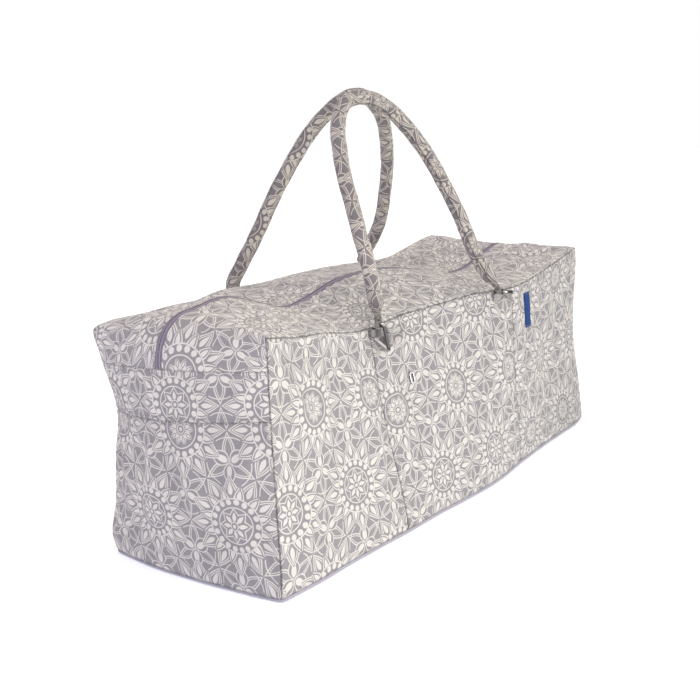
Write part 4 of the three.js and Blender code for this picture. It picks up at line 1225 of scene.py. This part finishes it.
ROPE_RADIUS = 8.3
STRAP_HALF_WIDTH = 4.4
STRAP_HALF_THICK = 2.2
STRAP_LENGTH = {"front": 8.0, "back": 2.5}
TAPER_LENGTH = {"front": 15.0, "back": 5.0}
FRONT_ROPE = [
    (-134.5, -103, 220), (-127, -95, 236), (-115, -84, 253), (-106, -71, 283), (-99, -52, 334),
    (-89, -32, 386), (-75, -19, 426), (-53, -13, 450), (-25, -14, 457), (4, -22, 450), (35, -41, 416),
    (53, -61, 373), (63, -86, 316), (62, -110, 264), (57, -127, 245), (69, -134, 226),
]
BACK_ROPE = [
    (-103, 127, 236), (-108, 126, 251), (-110, 111, 271), (-106, 92, 299), (-91, 69, 349), (-72, 50, 392),
    (-44, 31, 433), (-7, 20, 457), (18, 19, 461), (41, 20, 456), (73, 26, 438), (99, 37, 405), (118, 53, 359),
    (126, 69, 311), (131, 84, 284), (135, 100, 265), (135, 109, 250), (131, 112, 234),
]


def rope_line(knots):
    """A smooth line through knots, with a point about every half millimetre."""
    knots = np.asarray(knots, float)
    knots = np.vstack([2 * knots[0] - knots[1], knots, 2 * knots[-1] - knots[-2]])
    line = []
    for i in range(1, len(knots) - 2):
        a, b, c, d = knots[i - 1 : i + 3]
        one, two, three = (max(np.linalg.norm(q - p), 1e-4) ** 0.5 for p, q in ((a, b), (b, c), (c, d)))
        leave = ((b - a) / one - (c - a) / (one + two) + (c - b) / two) * two
        reach = ((c - b) / two - (d - b) / (two + three) + (d - c) / three) * two
        t = np.linspace(0, 1, 80, endpoint=False)[:, None]
        bend, twist = 3 * (c - b) - 2 * leave - reach, 2 * (b - c) + leave + reach
        line.append(b + leave * t + bend * t**2 + twist * t**3)
    return np.vstack(line + [knots[-2:-1]])


# A darker copy of the body's printed cotton: painted shade for the handles
shaded_handle_print = printed_cotton("shaded_handle_print", linear(114, 110, 112), linear(190, 184, 172))
EYE_LINING, EYE_HALF_THICK, EYE_HALF_WIDE = 3.2, 0.72, 3.3
around = np.linspace(0, math.tau, 36, endpoint=False)
# The lengthwise seam, as a distance round the rope
ROPE_SEAM = 1.2
from_seam = np.abs((around - ROPE_SEAM + math.pi) % math.tau - math.pi) * ROPE_RADIUS
# A groove along the seam, and painted shade in it
groove, rope_seam_shade = 0.55 * np.exp(-((from_seam / 0.9) ** 2)), np.exp(-((from_seam / 0.8) ** 2))
# A row of stitches across a strap, and how far it stands off the strap's middle
row_wide = np.linspace(-4.0, 4.0, 9)
row_lift = STRAP_HALF_THICK * np.sqrt(np.maximum(0.05, 1 - (row_wide / 4.6) ** 2)) + 0.1
strap_lines = []
for name, knots, first, last, seed in (
    ("front", FRONT_ROPE, "front_left", "front_right", 31),
    ("back", BACK_ROPE, "back_left", "back_right", 37),
):
    first, last = ring_corners[first], ring_corners[last]
    fine = rope_line([(first.bar_in + first.bar_out) / 2, *knots[1:-1], (last.bar_in + last.bar_out) / 2])
    length = run_length(fine)
    total = length[-1]
    tail = EYE_RADIUS * 0.86
    strap_end = tail + STRAP_LENGTH[name]
    near = np.arange(tail, 60, 1.5)
    stops = np.concatenate([near, np.arange(60, total - 60, 2.6), total - near[::-1]])
    axis = [unit(ring.bar_out - ring.bar_in) for ring in (first, last)]

    def rope_point(s):
        return np.array([np.interp(s, length, fine[:, k]) for k in range(3)])

    aside = axis[0]
    rings, painted_shade = [], []
    for s in stops:
        ahead = unit(rope_point(s + 0.6) - rope_point(s - 0.6))
        away = min(s, total - s) - strap_end
        t = soft_step(away, 0, TAPER_LENGTH[name])
        aside = unit(aside - ahead * aside.dot(ahead))
        if s > total / 2:
            strap_way = unit(axis[1] - ahead * axis[1].dot(ahead))
            strap_way = strap_way if strap_way.dot(aside) >= 0 else -strap_way
            turned = 1 - soft_step(total - s, 0, total * 0.45)
            aside = unit(aside + (strap_way - aside) * turned)
        up = unit(np.cross(ahead, aside))
        wide, thick = (low + (ROPE_RADIUS - low) * t for low in (STRAP_HALF_WIDTH, STRAP_HALF_THICK))
        pleat = 0.55 * np.cos(9 * around + seed) * 4 * t * (1 - t)
        dent = 0.22 * np.sin(s / 11 + 2 * np.cos(around)) + 0.16 * np.sin(s / 4.7 + 3 * around)
        swell = pleat + (dent - groove) * soft_step(away, 2, TAPER_LENGTH[name] + 8)
        across, over = np.cos(around) * (wide + swell), np.sin(around) * (thick + swell)
        rings.append(rope_point(s) + np.outer(across, aside) + np.outer(over, up))
        # Painted shade on the straps and along the seam; on the front handle, painted light on parts of its
        # legs
        shade_depth = 0.5 - 0.5 * soft_step(min(s, total - s), strap_end - 2, strap_end + 14)
        lit = 0.28 * math.exp(-(((s - 72) / 40) ** 2)) + 0.1 * math.exp(-(((total - s - 90) / 60) ** 2))
        painted_shade.append(np.maximum(0.8 * rope_seam_shade, shade_depth) - (lit if name == "front" else 0))
    cut = [(s + seed * 3, k * ROPE_RADIUS) for s in stops for k in around]
    parts = [(*skin(rings, False), cut, np.concatenate(painted_shade))]
    for at, way in ((0, axis[0]), (-1, axis[1])):
        ahead = unit(fine[1] - fine[0]) if at == 0 else unit(fine[-2] - fine[-1])
        ahead = unit(ahead - way * ahead.dot(way))
        over = np.cross(way, ahead)
        eye_turn = np.linspace(0, math.tau, 28, endpoint=False)
        rings = []
        for a in eye_turn:
            radial = ahead * math.cos(a) + over * math.sin(a)
            spot = fine[at] + radial * EYE_LINING
            rings.append(bar_ring(spot, way * EYE_HALF_WIDE, radial * EYE_HALF_THICK, 0.4))
        cut = [(a * 3 + 40, 6 * math.cos(k)) for a in eye_turn for k in section]
        # The strap folded round the ring's bar carries painted shade
        parts.append((*skin(rings, True), cut, np.full(len(cut), 0.5)))
        for s in (tail + 2.2, tail + 6.2):
            row = rope_point(s if at == 0 else total - s) + np.outer(row_wide, way)
            strap_lines += [row + np.outer(row_lift * face_way, over) for face_way in (1, -1)]
    rope = mesh_piece(f"{name}_rope", *joined(parts))
    tie(rope, shaded_handle_print, f"{name}_handle")
strap_thread = plain_cotton("strap_thread", linear(70, 66, 72), linear(98, 92, 100))
lay_along("strap_stitches", strap_lines, strap_thread, 1.5, (1.3, 0.55, 0.5), 11)

# Studio: a white floor, and a pale surround that is warmer overhead and cooler on the left.
# The camera has the photograph's angle and sees the surround as plain white.
# A soft light and a low fill stand in front of the bag.

floor_mesh = bpy.data.meshes.new("studio_floor")
FLOOR_HALF, FLOOR_DROP = 9, -0.0004
floor_ways = ((-1, -1), (1, -1), (1, 1), (-1, 1))
floor_corners = [(x * FLOOR_HALF, y * FLOOR_HALF, FLOOR_DROP) for x, y in floor_ways]
floor_mesh.from_pydata(floor_corners, [], [(0, 1, 2, 3)])
floor = placed("studio_floor", floor_mesh)
floor_paint, tone = blank_material("pale_floor")
grain = speckle(tone, tone.node("ShaderNodeTexCoord", None, None, 3), 3.0, 2.0)
painted(tone, {
    "Base Color": tint(tone, grain, linear(253, 253, 254), linear(255, 255, 255)),
    "Roughness": 0.9, "Specular IOR Level": 0.1,
    "Emission Color": (0.84, 0.92, 1.0, 1), "Emission Strength": 0.26,
})
floor_mesh.materials.append(floor_paint)
floor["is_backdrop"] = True

world = bpy.data.worlds.new("white_surround")
world.use_nodes = True
world.node_tree.nodes.clear()
tone = Tone(world.node_tree)
way = tone.node("ShaderNodeSeparateXYZ", None, {0: tone.node("ShaderNodeTexCoord")})
WHITE = (1.0, 1.0, 1.0, 1)
OVERHEAD, FROM_LEFT, FROM_FRONT = (1.42, 1.265, 1.045, 1), (0.54, 0.51, 0.86, 1), (0.76, 0.77, 0.78, 1)
sky = tint(tone, way.also(2).clipped(1.15, -0.15), WHITE, OVERHEAD)
sky = tint(tone, way.math("MAXIMUM", way * -1.0, 0.0), sky, FROM_LEFT)
sky = tint(tone, way.math("MAXIMUM", way.also(1) * -1.0, 0.0), sky, FROM_FRONT)
glow, seen = (tone.node("ShaderNodeBackground", None, {0: colour, 1: 1.0}) for colour in (sky, WHITE))
to_camera = tone.node("ShaderNodeLightPath")
surround = tone.node("ShaderNodeMixShader", None, {0: to_camera, 1: glow, 2: seen})
tone.node("ShaderNodeOutputWorld", None, {0: surround})
bpy.context.scene.world = world


def stood(right, up, back, place):
    """Where a light or a camera stands, and the ways that it is turned."""
    turned = np.eye(4)
    turned[:3] = np.column_stack([right, up, back, place])
    return Matrix(turned.tolist())


def soft_light(name, place, target, size, power, colour):
    lamp = bpy.data.lights.new(name, "AREA")
    lamp.energy, lamp.size, lamp.color = power, size, colour
    back = unit(np.array(place) - np.array(target))
    right = unit(np.cross([0, 0, 1.0], back))
    placed(name, lamp).matrix_world = stood(right, np.cross(back, right), back, place)


soft_light("front_light", (-0.54, -1.02, 0.6), (-0.1, 0, 0.15), 0.8, 4.5, (1.0, 0.97, 0.92))
soft_light("floor_fill", (-0.3, -0.85, 0.07), (-0.05, 0, 0.06), 0.5, 1.2, (1.0, 0.98, 0.95))

lens = bpy.data.cameras.new("photo_camera")
FOCAL_PIXELS, FRAME_PIXELS, SENSOR = 1032, 700, 36.0
lens.sensor_width, lens.lens = SENSOR, SENSOR * FOCAL_PIXELS / FRAME_PIXELS
lens.clip_start, lens.clip_end = 0.02, 60.0
turn_to, height, roll = (math.radians(value) for value in (-52.91, 12.31, -3.48))
level = math.cos(height)
back_way = np.array([math.sin(turn_to) * level, -math.cos(turn_to) * level, math.sin(height)])
right_way = np.array([math.cos(turn_to), math.sin(turn_to), 0.0])
up_way = np.cross(back_way, right_way)
rolled_right = math.cos(roll) * right_way + math.sin(roll) * up_way
rolled_up = -math.sin(roll) * right_way + math.cos(roll) * up_way
camera = placed("photo_camera", lens)
camera.matrix_world = stood(rolled_right, rolled_up, back_way, (-0.9964, -0.7136, 0.4276))
bpy.context.scene.camera = camera
bpy.context.scene.view_settings.view_transform = "Standard"

low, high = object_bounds()
